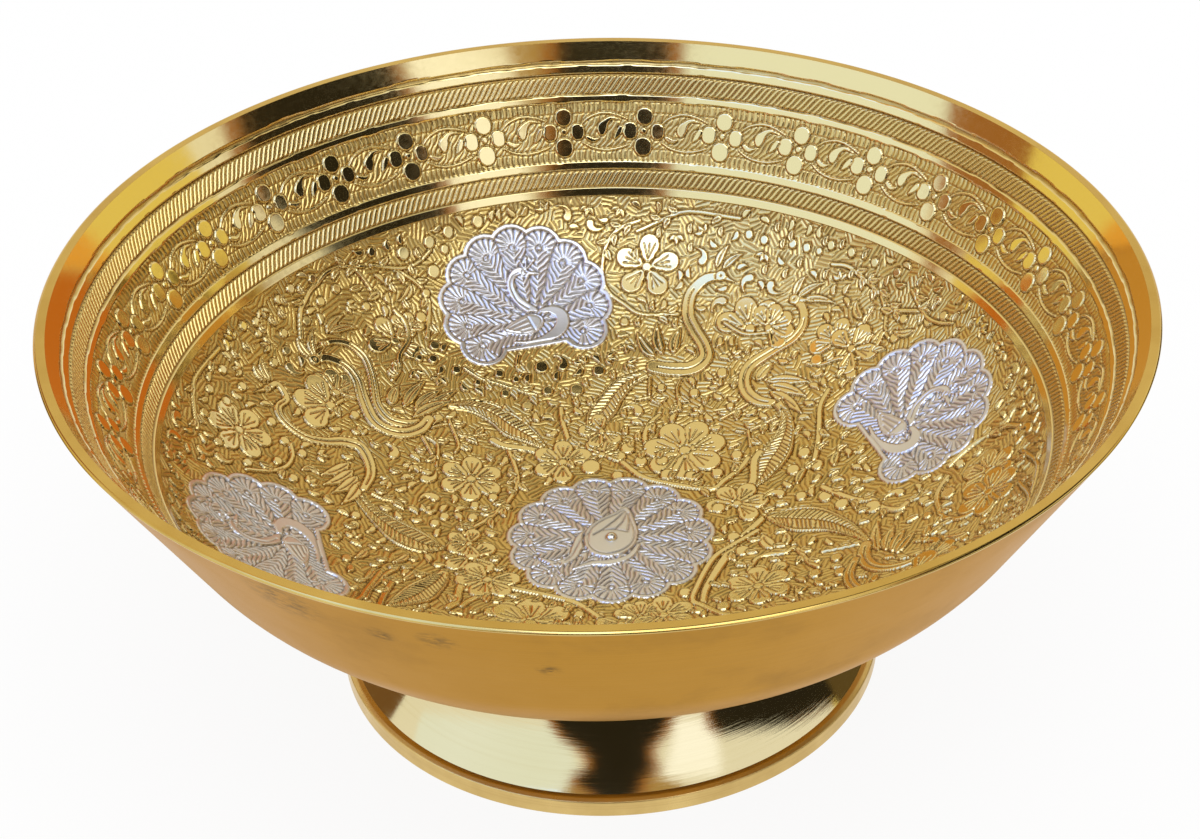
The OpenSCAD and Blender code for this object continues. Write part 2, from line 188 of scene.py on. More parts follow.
class Sheet:
    """A flat sheet that motifs are drawn on. raised is 1 on a figure, cut is 1 along an engraved line."""

    def __init__(self, x0, y0, x1, y1):
        self.x0, self.y0 = x0, y0
        nx, ny = int(round((x1 - x0) / STEP)) + 1, int(round((y1 - y0) / STEP)) + 1
        self.x = x0 + STEP * np.arange(nx)
        self.y = y0 + STEP * np.arange(ny)
        self.raised = np.zeros((ny, nx), np.float32)
        self.cut = np.zeros((ny, nx), np.float32)
        self.vines = []

    def window(self, xa, ya, xb, yb):
        """The part of the raster in a box, with its coordinates; None where the box is off the sheet."""
        i0 = max(0, int((xa - self.x0) / STEP))
        i1 = min(len(self.x), int((xb - self.x0) / STEP) + 2)
        j0 = max(0, int((ya - self.y0) / STEP))
        j1 = min(len(self.y), int((yb - self.y0) / STEP) + 2)
        if i1 <= i0 or j1 <= j0:
            return None
        return (slice(j0, j1), slice(i0, i1)), self.x[None, i0:i1], self.y[j0:j1, None]

    def sample(self, layer, x, y):
        """A layer's value at any points, taken between its four nearest."""
        fx = np.clip((x - self.x0) / STEP, 0, len(self.x) - 1.001)
        fy = np.clip((y - self.y0) / STEP, 0, len(self.y) - 1.001)
        i, j = fx.astype(int), fy.astype(int)
        fx, fy = fx - i, fy - j
        return (layer[j, i] * (1 - fx) * (1 - fy) + layer[j, i + 1] * fx * (1 - fy)
                + layer[j + 1, i] * (1 - fx) * fy + layer[j + 1, i + 1] * fx * fy)

    def line(self, layer, points, value=1.0, more=0.0):
        """Draws a line whose points each carry a width; more is added to the width."""
        for (xa, ya, wa), (xb, yb, wb) in zip(points[:-1], points[1:]):
            reach = max(wa, wb) / 2 + more / 2 + STEP
            found = self.window(min(xa, xb) - reach, min(ya, yb) - reach,
                                max(xa, xb) + reach, max(ya, yb) + reach)
            if not found:
                continue
            win, x, y = found
            dx, dy = xb - xa, yb - ya
            t = np.clip(((x - xa) * dx + (y - ya) * dy) / max(dx * dx + dy * dy, 1e-9), 0, 1)
            gap = np.hypot(x - xa - t * dx, y - ya - t * dy) - (wa + (wb - wa) * t + more) / 2
            cover = np.clip(0.5 - gap / STEP, 0, 1)
            layer[win] += (value - layer[win]) * cover

    def area(self, layer, points, value=1.0):
        """Fills a closed outline."""
        p = np.asarray(points, float)[:, :2]
        found = self.window(*p.min(0), *p.max(0))
        if not found:
            return
        win, x, y = found
        hit = np.zeros((y.shape[0], x.shape[1]), bool)
        for (xa, ya), (xb, yb) in zip(p, np.roll(p, -1, 0)):
            if ya != yb:
                hit ^= ((ya > y) != (yb > y)) & (x < (xb - xa) * (y - ya) / (yb - ya) + xa)
        layer[win][hit] = value

    def figure_line(self, points, gap=0.5):
        """A raised line with a cleared gap round it."""
        self.line(self.raised, points, 0, gap)
        self.line(self.cut, points, 0, gap)
        self.line(self.raised, points)

    def figure_area(self, outline, gap=0.5):
        """A raised area with a cleared gap round it."""
        edge = np.column_stack([np.vstack([outline, outline[:1]])[:, :2], np.zeros(len(outline) + 1)])
        self.line(self.raised, edge, 0, 2 * gap)
        self.area(self.raised, outline)
        self.area(self.cut, outline, 0)

    def engrave(self, points, width=0.22):
        p = np.asarray(points, float)
        self.line(self.cut, np.column_stack([p[:, :2], np.full(len(p), width)]))

    def leaf(self, start, end, width, bend=0.0, vein=True, gap=0.4):
        shape = arc_leaf(start, end, width, bend)
        self.figure_line(shape, gap)
        if vein and width > 0.9:
            self.engrave(shape[1:-2], 0.18)

    def comma(self, at, size, turn, gap=0.4):
        """A drop with a curled tail, head at the given place, tail turning away."""
        t = np.linspace(0, 1, 9)
        bow = turn + 1.5 * t
        x = at[0] + size * 1.9 * t * np.cos(bow)
        y = at[1] + size * 1.9 * t * np.sin(bow)
        self.figure_line(np.column_stack([x, y, size * (1 - t) ** 0.8 + 0.05]), gap)

    def flower(self, at, size, petals=5, turn=0.0, sweep=360.0):
        """Round-ended petals with veins round a button; sweep under 360 gives a half flower."""
        full = sweep >= 360
        for i in range(petals):
            a = turn + math.radians(sweep) * (i / petals if full else (i / (petals - 1) - 0.5))
            way = toward(a)
            side = np.array([-way[1], way[0]])
            wide = size * min(0.8, 2.6 * math.radians(sweep) / 2 / petals)
            petal = ((0.15, 0.15), (0.45, 0.6), (0.75, 0.9), (0.8, 0.85))
            self.figure_line([(*(at + way * size * s), wide * w) for s, w in petal], 0.3)
            for k in (-1, 0, 1):
                self.engrave([at + way * size * 0.28, at + way * size * 0.8 + side * k * wide * 0.25], 0.16)
        self.figure_line([(*at, size * 0.32), (at[0] + 0.01, at[1], size * 0.32)], 0.3)

    def plume(self, upper, lower, pitch=0.95):
        """A long feather between two edge lines: outline strip, middle line and slanting barbs."""
        up, low = smooth(upper, parts=10)[:, :2], smooth(lower, parts=10)[:, :2]
        s = np.linspace(0, 1, 60)
        up, low = (np.column_stack([np.interp(s * r[-1], r, e[:, k]) for k in (0, 1)])
                   for e, r in ((e, run_along(e)) for e in (up, low)))
        self.figure_area(np.vstack([up, low[::-1]]), 0.35)
        mid = (up + low) / 2
        for edge in (up, low):
            self.engrave(mid + (edge - mid) * 0.80, 0.2)
        self.engrave(mid[3:-3], 0.2)
        length = np.hypot(*np.diff(mid, axis=0).T).sum()
        count = max(4, int(length / pitch))
        for k in range(2, count - 1):
            a = k / count
            b = min(1, a + 1.3 / count)
            i, j = int(a * (len(s) - 1)), int(b * (len(s) - 1))
            for edge in (up, low):
                self.engrave([mid[i], mid[j] + (edge[j] - mid[j]) * 0.76], 0.24)


# Points of the field are typed on a squared plan seen from above: eight squares
# to the millimetre, middle of the bowl at (820, 820), y towards the viewer.
SQUARES, MIDDLE = 8.0, 820.0


def flat(points):
    """Plan points to the flattened field, where distance from the middle runs along the wall."""
    p = np.atleast_2d(np.array(points, float))
    x, y = (p[:, 0] - MIDDLE) / SQUARES, (MIDDLE - p[:, 1]) / SQUARES
    r = np.hypot(x, y)
    k = np.interp(r, WALL.r, WALL.rho) / np.maximum(r, 1e-6)
    out = [x * k, y * k]
    if p.shape[1] > 2:
        out.append(p[:, 2] / SQUARES)
    return np.column_stack(out)


def with_width(points, width):
    """Points with a width each: their own third number, or else the given one."""
    return [(*q[:2], q[2] if len(q) > 2 else width) for q in points]


class Patch:
    """The motifs of a stretch of the field, which can be drawn again turned about the middle."""

    def __init__(self, sheet, turn=0.0, only_free=False):
        self.sheet, self.turn, self.only_free = sheet, math.radians(turn), only_free

    def put(self, points):
        p = flat(points)
        c, s = math.cos(self.turn), math.sin(self.turn)
        p[:, :2] = p[:, :2] @ np.array([[c, s], [-s, c]])
        return p

    def blocked(self, p):
        """True where a turned copy would land on what is drawn, on a medallion, or past the field."""
        if not self.only_free:
            return False
        if np.hypot(p[:, 0], p[:, 1]).max() > FIELD_RHO - 0.8:
            return True
        i = np.clip(((p[:, 0] - self.sheet.x0) / STEP).astype(int), 0, len(self.sheet.x) - 1)
        j = np.clip(((p[:, 1] - self.sheet.y0) / STEP).astype(int), 0, len(self.sheet.y) - 1)
        return bool((self.sheet.raised[j, i] > STANDS).mean() > 0.12 or KEEP_OUT[j, i].any())

    def vine(self, points, width=7.0):
        p = self.put(with_width(points, width))
        if not self.blocked(p):
            line = smooth(p)
            self.sheet.figure_line(line)
            self.sheet.vines.append(line[:, :2])

    def dots(self, places, size=15.0):
        """Berries; a turned copy has a drop-shaped leaf in the place of each."""
        for q in with_width(places, size):
            p = self.put([q])
            if self.blocked(p):
                continue
            if self.only_free:
                way = p[0, :2] / np.hypot(*p[0, :2])
                self.sheet.leaf(p[0, :2] - way * 1.1, p[0, :2] + way * 1.3, 1.3, 0.2)
            else:
                self.sheet.figure_line(np.vstack([p, p + [0.02, 0.3, 0]]), 0.4)

    def leaf(self, start, end, width, bend=0.0):
        p = self.put([start, end])
        if not self.blocked(p):
            self.sheet.leaf(p[0], p[1], width / SQUARES, bend)

    def flower(self, at, size, petals=5, turn=0.0, sweep=360.0):
        p = self.put([at])
        if not self.blocked(p):
            self.sheet.flower(p[0, :2], size / SQUARES, petals, math.radians(turn) + self.turn, sweep)

    def plume(self, upper, lower):
        u, w = self.put(upper), self.put(lower)
        if not self.blocked(np.vstack([u, w])):
            self.sheet.plume(u, w)

    def bird(self, neck, beak, crest, wing, plume, legs):
        """Peacock: tail feather first, then wing leaves, neck and body over them, beak, crest and legs."""
        body = self.put(neck)
        if self.blocked(body):
            return
        if plume:
            self.plume(*plume)
        for a, b in wing:
            self.leaf(a, b, 19, 0.06)
        for leg in legs:
            self.vine(leg, 5)
        for a, b in crest:
            self.leaf(a, b, 14, 0.1)
        line = smooth(body, parts=8)
        self.sheet.figure_line(line, 0.6)
        self.sheet.engrave(line[len(line) // 5:-2], 0.2)
        head = body[0]
        tip = self.put([beak])[0]
        self.sheet.figure_line([(*head[:2], head[2] * 0.8), (*tip[:2], 0.15)], 0.2)
        round_head = head * [1, 1, 1.3]
        self.sheet.figure_line([round_head, round_head + [0.01, 0, 0]], 0.3)
        self.sheet.line(self.sheet.cut, [(*head[:2], 0.35), (head[0] + 0.01, head[1], 0.35)])


def left_back_quarter(p):
    """Two birds, flowers and vines between the left and back medallions."""
    p.vine([(420, 325), (400, 335), (380, 348), (362, 365), (350, 385), (340, 400), (332, 420), (326, 440),
            (328, 480)])
    p.vine([(385, 343), (405, 335), (425, 345), (440, 360)], 6)
    p.vine([(432, 320), (450, 312), (470, 308), (500, 312), (518, 322), (525, 340), (525, 370), (524, 396)])
    p.vine([(432, 318), (480, 302), (508, 284), (528, 262)], 6)
    p.vine([(585, 437), (612, 452), (640, 458), (665, 465), (700, 475)])
    p.vine([(672, 400), (670, 420), (677, 435), (668, 448)], 6)
    p.vine([(655, 590), (665, 620), (672, 650), (672, 680), (660, 715), (645, 740), (625, 770), (600, 795),
            (590, 810)])
    p.vine([(395, 560), (385, 575), (383, 595), (370, 608), (355, 602)], 6)
    p.vine([(215, 590), (192, 660), (188, 700), (200, 765)])
    p.vine([(325, 690), (330, 715), (322, 745), (300, 770), (270, 790)])
    p.vine([(742, 500), (745, 530), (752, 560), (757, 590), (768, 610)], 8)
    p.bird([(362, 470, 9), (380, 457, 10), (402, 452, 12), (425, 464, 13), (437, 490, 13), (443, 520, 14),
            (449, 548, 15), (467, 570, 18), (495, 573, 20), (522, 562, 18), (545, 546, 15)],
           (340, 498), [((366, 450), (392, 406)), ((372, 446), (414, 418))],
           [((470, 540), (480, 497)), ((490, 538), (522, 476)), ((507, 540), (549, 486)),
            ((522, 545), (574, 482))],
           ([(560, 512), (600, 497), (640, 503), (680, 528), (705, 558), (724, 592)],
            [(560, 522), (600, 524), (630, 542), (652, 565), (685, 576), (722, 592)]),
           [[(535, 568), (562, 556), (578, 575), (592, 575), (620, 567)],
            [(525, 590), (545, 605), (545, 650)]])
    p.bird([(285, 600, 10), (298, 582, 10), (313, 600, 11), (303, 622, 12), (306, 640, 13), (324, 655, 14),
            (350, 662, 15), (378, 656, 17), (402, 645, 20), (425, 645, 20), (440, 668, 18), (446, 700, 16),
            (438, 738, 12)],
           (266, 622), [((282, 588), (262, 572)), ((288, 584), (272, 552))],
           [((413, 688), (372, 735)), ((420, 700), (377, 757)), ((427, 712), (391, 770)),
            ((432, 722), (407, 790))],
           ([(432, 742), (455, 775), (500, 800), (530, 815), (566, 848)],
            [(420, 758), (460, 820), (490, 855), (530, 868), (564, 852)]),
           [[(450, 745), (470, 752), (502, 748)]])
    for at, size, petals, turn, sweep in (
        ((472, 418), 44, 4, 95, 230), ((252, 713), 50, 6, 10, 360), ((600, 672), 46, 6, 30, 360),
        ((385, 550), 42, 5, 110, 170), ((490, 392), 30, 3, 90, 110), ((605, 865), 42, 4, 45, 360),
    ):
        p.flower(at, size, petals, turn, sweep)
    p.dots([(378, 377), (342, 385), (355, 408), (310, 420), (335, 449), (293, 447), (302, 490), (263, 503),
            (267, 517, 12), (245, 525), (308, 515), (291, 548), (415, 583), (222, 620), (250, 625),
            (208, 672), (231, 672), (295, 662), (316, 690), (343, 702), (310, 740), (335, 765), (270, 775),
            (228, 765), (205, 725), (535, 408, 17), (533, 433), (511, 437, 12), (571, 445), (606, 463, 12),
            (641, 440), (651, 478), (687, 500, 17), (668, 448, 12), (635, 712), (608, 735), (605, 765),
            (562, 770), (548, 790), (430, 808), (430, 832), (432, 303), (483, 283, 22), (525, 255, 20),
            (532, 290, 22), (556, 234, 20), (550, 256, 15), (605, 210, 20), (512, 365, 18), (520, 325, 14),
            (425, 380, 14), (710, 420, 22), (720, 466, 17), (735, 615, 22)])
    p.leaf((495, 318), (474, 352), 14, 0.15)
    p.leaf((462, 318), (456, 336), 12)
    p.leaf((445, 350), (428, 368), 14)
    p.leaf((400, 366), (420, 352), 12)
    p.leaf((345, 738), (372, 735), 12, 0.3)


def right_back_quarter(p):
    """Two birds facing out, with their tails turned to the middle."""
    p.vine([(880, 188), (845, 195), (822, 215), (814, 250), (822, 280), (850, 303), (880, 322), (940, 328)])
    p.vine([(1200, 325), (1225, 340), (1245, 365), (1260, 385), (1275, 410), (1290, 440), (1310, 455),
            (1345, 480)])
    p.vine([(1275, 410), (1280, 440), (1277, 470), (1285, 490)], 6)
    p.vine([(1150, 470), (1173, 480), (1200, 480), (1233, 493), (1260, 487), (1273, 470)])
    p.vine([(820, 592), (845, 627), (870, 657), (900, 674), (950, 692), (985, 700), (1003, 684),
            (1030, 660), (1043, 640)], 9)
    p.vine([(903, 520), (885, 540), (878, 565), (885, 595), (905, 612), (930, 622)], 8)
    p.vine([(1180, 535), (1165, 562), (1160, 600), (1155, 640), (1146, 680)], 9)
    p.bird([(1015, 280, 15), (988, 280, 18), (964, 298, 20), (957, 330, 21), (968, 360, 22),
            (982, 390, 22), (984, 414, 24), (962, 430, 27), (930, 429, 27), (896, 420, 23)],
           (1040, 296), [((1008, 268), (1032, 240)), ((1018, 272), (1056, 258))],
           [((900, 402), (870, 352)), ((912, 398), (905, 338)), ((930, 398), (944, 352))],
           ([(875, 425), (835, 440), (805, 475), (785, 512), (786, 562)],
            [(890, 438), (862, 455), (842, 485), (830, 512), (790, 562)]),
           [[(890, 440), (889, 480), (905, 495)], [(889, 480), (866, 484)],
            [(940, 452), (934, 470), (938, 512)]])
    p.bird([(1135, 350, 14), (1148, 368, 15), (1148, 395, 15), (1130, 415, 17), (1095, 427, 19),
            (1060, 443, 21), (1046, 466, 21), (1048, 495, 21), (1065, 518, 20), (1088, 530, 16)],
           (1166, 364), [((1135, 345), (1158, 322)), ((1140, 350), (1186, 345)), ((1146, 356), (1202, 384))],
           [((1066, 478), (1096, 450)), ((1080, 482), (1152, 508)), ((1084, 492), (1144, 534)),
            ((1084, 504), (1135, 568))],
           None,
           [[(1050, 520), (1003, 543)], [(1093, 562), (1045, 578), (1027, 574)], [(1046, 578), (1048, 612)]])
    p.plume([(1105, 528), (1117, 563), (1120, 597), (1113, 640), (1097, 670), (1070, 697), (1040, 714)],
            [(1090, 536), (1100, 560), (1093, 590), (1073, 620), (1053, 642), (1050, 676), (1041, 712)])
    p.vine([(1062, 632), (1052, 650), (1048, 690), (1040, 716)], 12)
    for at, size, petals, turn, sweep in (
        ((890, 248), 52, 5, 80, 360), ((1060, 378), 56, 3, 95, 110), ((1198, 450), 42, 4, 90, 170),
        ((942, 603), 60, 7, 12, 360), ((1020, 745), 44, 5, 60, 240), ((808, 602), 34, 4, 90, 200),
    ):
        p.flower(at, size, petals, turn, sweep)
    p.vine([(1018, 357), (1050, 384), (1088, 392)], 6)
    p.dots([(1065, 238), (1090, 252), (1137, 273), (1160, 287), (1200, 302), (1232, 327), (1268, 360),
            (1302, 395), (1327, 440), (1360, 478), (1367, 508), (1343, 498), (1307, 468), (1290, 490),
            (850, 335), (805, 424, 20), (768, 462, 22), (908, 464, 14), (962, 482, 16), (850, 590, 22),
            (870, 622, 20), (905, 624, 18), (912, 658, 22), (950, 665, 18), (832, 655, 18),
            (1025, 630, 18), (992, 665, 18), (790, 632, 30), (1112, 688, 20), (1150, 690, 20),
            (1132, 655, 20), (990, 752, 20), (1120, 755, 18), (1157, 770, 22), (1020, 520, 12),
            (1180, 300, 12), (1240, 440, 14), (1010, 450, 18), (1165, 470, 20), (1218, 520, 20)])
    p.leaf((1176, 702), (1188, 668), 14, 0.1)
    p.leaf((1116, 722), (1136, 686), 12, 0.1)
    p.leaf((1250, 500), (1240, 460), 14, 0.1)


def right_front_quarter(p):
    """The bird whose tail sweeps in towards the centre medallion, and its vines."""
    p.vine([(1062, 786, 9), (1045, 806, 12), (1020, 835, 12), (1000, 870, 13), (985, 900, 13),
            (972, 930, 12), (960, 962, 11), (955, 1000, 10), (955, 1030, 9)])
    p.vine([(1155, 745), (1185, 780), (1205, 800), (1227, 812), (1240, 840), (1263, 858), (1278, 848)], 10)
    p.vine([(1340, 830), (1325, 850), (1318, 870), (1318, 900), (1322, 930), (1345, 955), (1375, 955),
            (1402, 944)], 9)
    p.vine([(1345, 805), (1370, 790), (1400, 785), (1430, 795), (1447, 820)], 9)
    p.vine([(1100, 872), (1110, 900), (1120, 930), (1132, 946)], 8)
    p.vine([(1100, 880), (1085, 889), (1060, 886), (1040, 896), (1027, 930), (1030, 960), (1040, 990),
            (1055, 1012)], 8)
    p.bird([(1290, 968, 11), (1304, 985, 11), (1288, 1006, 12), (1258, 1016, 15), (1226, 1006, 18),
            (1206, 982, 21), (1200, 950, 21), (1206, 922, 18)],
           (1272, 962), [((1292, 958), (1300, 934)), ((1298, 962), (1320, 950))],
           [((1222, 950), (1230, 868)), ((1232, 956), (1252, 896)), ((1240, 966), (1266, 916)),
            ((1246, 976), (1280, 934))],
           ([(1062, 788), (1078, 783), (1112, 780), (1150, 796), (1190, 850), (1216, 916)],
            [(1064, 794), (1100, 835), (1150, 855), (1190, 890), (1212, 922)]),
           [[(1196, 914), (1140, 908)]])
    p.flower((1060, 945), 34, 4, 90, 220)
    p.flower((1395, 872), 46, 6, 20)
    p.dots([(1010, 830, 20), (1022, 868, 22), (985, 1012, 20), (1125, 965, 20), (1160, 935, 18),
            (1162, 978, 18), (1010, 975, 18), (1075, 1000, 16), (1225, 830, 26), (1300, 862, 18),
            (1335, 872, 24), (1180, 800, 22), (1360, 815, 16), (1300, 905, 14), (1370, 1000, 14),
            (1340, 1020, 14)])
    p.leaf((1070, 870), (1055, 830), 22, 0.1)
    p.leaf((1085, 870), (1090, 836), 16, -0.1)
    p.leaf((1350, 1010), (1310, 975), 18, 0.15)
    p.leaf((1370, 990), (1398, 968), 16, 0.15)


def left_front_quarter(p):
    """Vines, flowers and a tail feather in front of the centre medallion."""
    p.vine([(500, 920), (485, 940), (475, 965), (465, 990), (460, 1025)])
    p.vine([(645, 950), (680, 965), (712, 985), (746, 1000)], 8)
    p.plume([(560, 908), (540, 935), (515, 965), (500, 1000), (488, 1034)],
            [(576, 912), (573, 940), (566, 965), (550, 998), (492, 1036)])
    p.flower((665, 1014), 32, 3, 90, 160)
    p.flower((862, 1024), 42, 5, 90, 130)
    p.dots([(512, 930), (425, 925), (485, 965, 12), (600, 948), (648, 928), (700, 985, 18), (755, 985, 20),
            (740, 1014, 22), (770, 1012, 16), (930, 965, 20), (946, 1012, 20), (800, 1015, 14)])
    p.leaf((905, 1030), (908, 992), 20, 0.05)


def groove(distance, half):
    """1 along the line where a distance is zero, falling to 0 at half its width."""
    return np.clip(1 - np.abs(distance) / half, 0, 1)


def chisel_ground(x, y, pitch, patch, rng):
    """Short side-by-side cuts, 0 in a cut and 1 on a ridge, whose direction changes from patch to patch."""
    n = int(200 / patch) + 4
    ox, oy = rng.random((n, n)) - 0.5, rng.random((n, n)) - 0.5
    turn = rng.random((n, n)) * math.pi
    i, j = np.floor(x / patch).astype(int), np.floor(y / patch).astype(int)
    best = np.full(np.broadcast(x, y).shape, 1e9, np.float32)
    angle = np.zeros_like(best)
    shift = np.zeros_like(best)
    for di in (-1, 0, 1):
        for dj in (-1, 0, 1):
            a, b = (i + di) % n, (j + dj) % n
            px = (i + di + 0.5 + ox[b, a]) * patch
            py = (j + dj + 0.5 + oy[b, a]) * patch
            far = (x - px) ** 2 + (y - py) ** 2
            near = far < best
            best = np.where(near, far, best)
            angle = np.where(near, turn[b, a], angle)
            shift = np.where(near, px * 3.1 + py * 1.7, shift)
    wave = 0.25 * np.sin(x * 1.3 + 2 * np.sin(y * 0.9)) + 0.25 * np.sin(y * 1.1 + 1.5 * np.sin(x * 0.8))
    stripe = (x * np.cos(angle) + y * np.sin(angle)) / pitch + shift + wave / 3
    return (1 - groove(stripe - np.round(stripe), 0.26)).astype(np.float32)


# Medallions.
def scallop_gap(x, y, core, count, sweep):
    """Distance outside a row of scallops, negative within."""
    gap = np.full(np.broadcast(x, y).shape, 99.0)
    for a in scallop_bearings(count, sweep):
        gap = np.minimum(gap, np.hypot(x - core * math.cos(a), y - core * math.sin(a)) - SCALLOP_R)
    return gap


def scallop_bearings(count, sweep):
    step = sweep / (count if sweep == 360 else count - 1)
    return [math.radians(90 + sweep / 2 - i * step) for i in range(count)]


def feather_relief(x, y, hub, eyes):
    """The spread tail: a barbed feather from the hub to each eye, 0 in the cuts and 1 on the barbs."""
    # A slow warp of the drawing keeps the hand-cut lines from being ruler straight.
    x, y = (x + 0.22 * np.sin(0.7 * y + 1.1) + 0.10 * np.sin(1.9 * y - 0.8 * x),
            y + 0.22 * np.sin(0.8 * x + 0.4) + 0.10 * np.sin(2.1 * x + 0.9 * y))
    hx, hy = x - hub[0], y - hub[1]
    angle = np.arctan2(hy, hx)
    best = np.full(angle.shape, 9.0)
    second = np.full(angle.shape, 9.0)
    along, across, out_x, out_y = (np.zeros(angle.shape) for _ in range(4))
    for ex, ey in eyes:
        a = math.atan2(ey - hub[1], ex - hub[0])
        off = np.abs((angle - a + math.pi) % (2 * math.pi) - math.pi)
        near = off < best
        second = np.where(near, best, np.minimum(second, off))
        best = np.where(near, off, best)
        along = np.where(near, hx * math.cos(a) + hy * math.sin(a), along)
        across = np.where(near, -hx * math.sin(a) + hy * math.cos(a), across)
        # Place round the eye, first number outwards from the hub.
        out_x = np.where(near, (x - ex) * math.cos(a) + (y - ey) * math.sin(a), out_x)
        out_y = np.where(near, -(x - ex) * math.sin(a) + (y - ey) * math.cos(a), out_y)
    phase = (along - 1.15 * np.abs(across)) / BARB_PITCH
    relief = 1 - groove(phase - np.round(phase), 0.25)
    relief = np.maximum(relief, groove(across, 0.26))
    radius = np.hypot(out_x, out_y)
    turn = np.arctan2(out_y, out_x)
    ray = 1 - groove(np.sin(turn * EYE_RAYS / 2), 0.52)
    relief = np.where((np.abs(turn) < 1.85) & (radius > 0.5), ray, relief)
    relief = relief * (1 - groove(radius - 0.62, 0.22))
    seam = (second - best) * np.hypot(hx, hy) / 2
    return relief * (1 - groove(seam, 0.26))


class Medallion:
    """A silvered medallion drawn flat: height above ring level and how much of each spot is silver."""

    def __init__(self, gap, eyes, hub, draw):
        self.sheet = Sheet(-MEDALLION_SHEET, -MEDALLION_SHEET, MEDALLION_SHEET, MEDALLION_SHEET)
        x, y = np.meshgrid(self.sheet.x, self.sheet.y)
        outside = gap(x, y)
        feathers = feather_relief(x, y, hub, eyes)
        draw(self.sheet)
        bird = blurred(self.sheet.raised, 0.6)
        cuts = blurred(self.sheet.cut, 0.7)
        border = np.clip((outside + BORDER_W) / 0.2 + 0.5, 0, 1)
        floor = -SINK - FEATHER_DROP + BARB_DEPTH * blurred(feathers.astype(np.float32), 0.5)
        moat = groove(outside + BORDER_W + 0.22, 0.3) * MOAT_DEPTH
        around = np.clip(blurred(self.sheet.raised, 2.4) * 2.4, 0, 1) * (1 - bird)
        top = (floor - BIRD_DIP * around) * (1 - bird) + (0.02 - 0.2 * cuts) * bird - moat
        self.height = top * (1 - border)
        self.inside = np.clip(0.5 - outside / STEP, 0, 1)
        self.figure = np.maximum(border, bird * (1 - cuts))


def draw_peacock(sheet, reach, belly, neck, beak, wing, stripes, line, crest, eye):
    """A peacock in shares of a medallion's reach: belly, neck, beak and wing stand up, the rest is cut."""
    def at(shares):
        return reach * np.array(shares, float)

    sheet.figure_line(smooth(at(belly)), 0.5)
    sheet.figure_line(smooth(at(neck)), 0.5)
    sheet.figure_line(at(beak), 0.3)
    outline = smooth(at(wing), closed=True)
    sheet.figure_area(outline, 0.35)
    middle = outline.mean(0)
    rim = middle + (outline - middle) * 0.86
    sheet.engrave(np.vstack([rim, rim[:1]]), 0.22)
    for stripe in stripes:
        sheet.engrave(at(stripe), 0.3)
    sheet.engrave(smooth(at(line)), 0.2)
    head = at(crest[0])
    for tip in crest[1:]:
        sheet.figure_line([(*head, 0.3), (*at(tip), 0.45)], 0.15)
        sheet.figure_line([(*at(tip), 0.8), (*(at(tip) + 0.05), 0.8)], 0.15)
    sheet.engrave([at(eye), at(eye) + [0.3, 0]], 0.4)


def fan_peacock(sheet):
    """Peacock of a wall medallion: wing to the left, neck curling up and over to the right."""
    draw_peacock(
        sheet, FAN_R + SCALLOP_R,
        belly=[(0.13, -0.10, 0.05), (0.27, -0.10, 0.10), (0.37, -0.18, 0.14), (0.36, -0.31, 0.15),
               (0.26, -0.41, 0.13), (0.10, -0.47, 0.09), (-0.06, -0.48, 0.06), (-0.22, -0.45, 0.03)],
        neck=[(0.07, -0.08, 0.12), (-0.03, 0.03, 0.11), (-0.10, 0.16, 0.095), (-0.115, 0.29, 0.085),
              (-0.065, 0.40, 0.08), (0.02, 0.445, 0.09), (0.10, 0.40, 0.10)],
        beak=[(0.09, 0.41, 0.07), (0.25, 0.37, 0.02)],
        wing=[(-0.34, -0.28), (-0.24, -0.20), (-0.12, -0.145), (-0.02, -0.115), (0.065, -0.11),
              (0.16, -0.175), (0.14, -0.28), (0.01, -0.37), (-0.16, -0.36)],
        stripes=[[(-0.25, -0.265), (-0.02, -0.185)], [(-0.20, -0.29), (0.01, -0.245)],
                 [(-0.12, -0.325), (0.03, -0.305)], [(-0.01, -0.15), (0.04, -0.345)]],
        line=[(0.03, -0.04), (-0.07, 0.07), (-0.10, 0.17), (-0.11, 0.29), (-0.06, 0.385), (0.02, 0.42)],
        crest=[(0.10, 0.44), (0.05, 0.56), (0.13, 0.58), (0.21, 0.54)],
        eye=(0.09, 0.415))


def centre_peacock(sheet):
    """Peacock of the centre medallion: the rivet sits in its wing, its head reaches to the front left."""
    draw_peacock(
        sheet, ROUND_R + SCALLOP_R,
        belly=[(0.257, -0.12, 0.04), (0.17, -0.295, 0.06), (0.0, -0.38, 0.075), (-0.185, -0.39, 0.06),
               (-0.355, -0.465, 0.03)],
        neck=[(-0.17, 0.135, 0.13), (-0.28, 0.01, 0.11), (-0.325, -0.135, 0.10), (-0.365, -0.27, 0.085),
              (-0.44, -0.35, 0.08), (-0.525, -0.39, 0.10)],
        beak=[(-0.52, -0.39, 0.07), (-0.68, -0.28, 0.02)],
        wing=[(0.16, 0.485), (0.225, 0.275), (0.257, 0.086), (0.225, -0.098), (0.135, -0.225),
              (-0.012, -0.294), (-0.152, -0.257), (-0.24, -0.135), (-0.257, 0.03), (-0.208, 0.184),
              (-0.086, 0.319), (0.049, 0.412)],
        stripes=[[(0.135, 0.415), (0.037, 0.27), (-0.086, 0.123)],
                 [(0.153, 0.40), (0.11, 0.245), (0.037, 0.123)],
                 [(0.172, 0.39), (0.178, 0.245), (0.16, 0.11)],
                 [(-0.17, 0.049), (-0.086, 0.123), (0.037, 0.135), (0.16, 0.086)]],
        line=[(-0.2, 0.10), (-0.29, -0.02), (-0.335, -0.15), (-0.38, -0.27), (-0.44, -0.34)],
        crest=[(-0.52, -0.44), (-0.62, -0.50), (-0.56, -0.54), (-0.47, -0.54)],
        eye=(-0.535, -0.375))


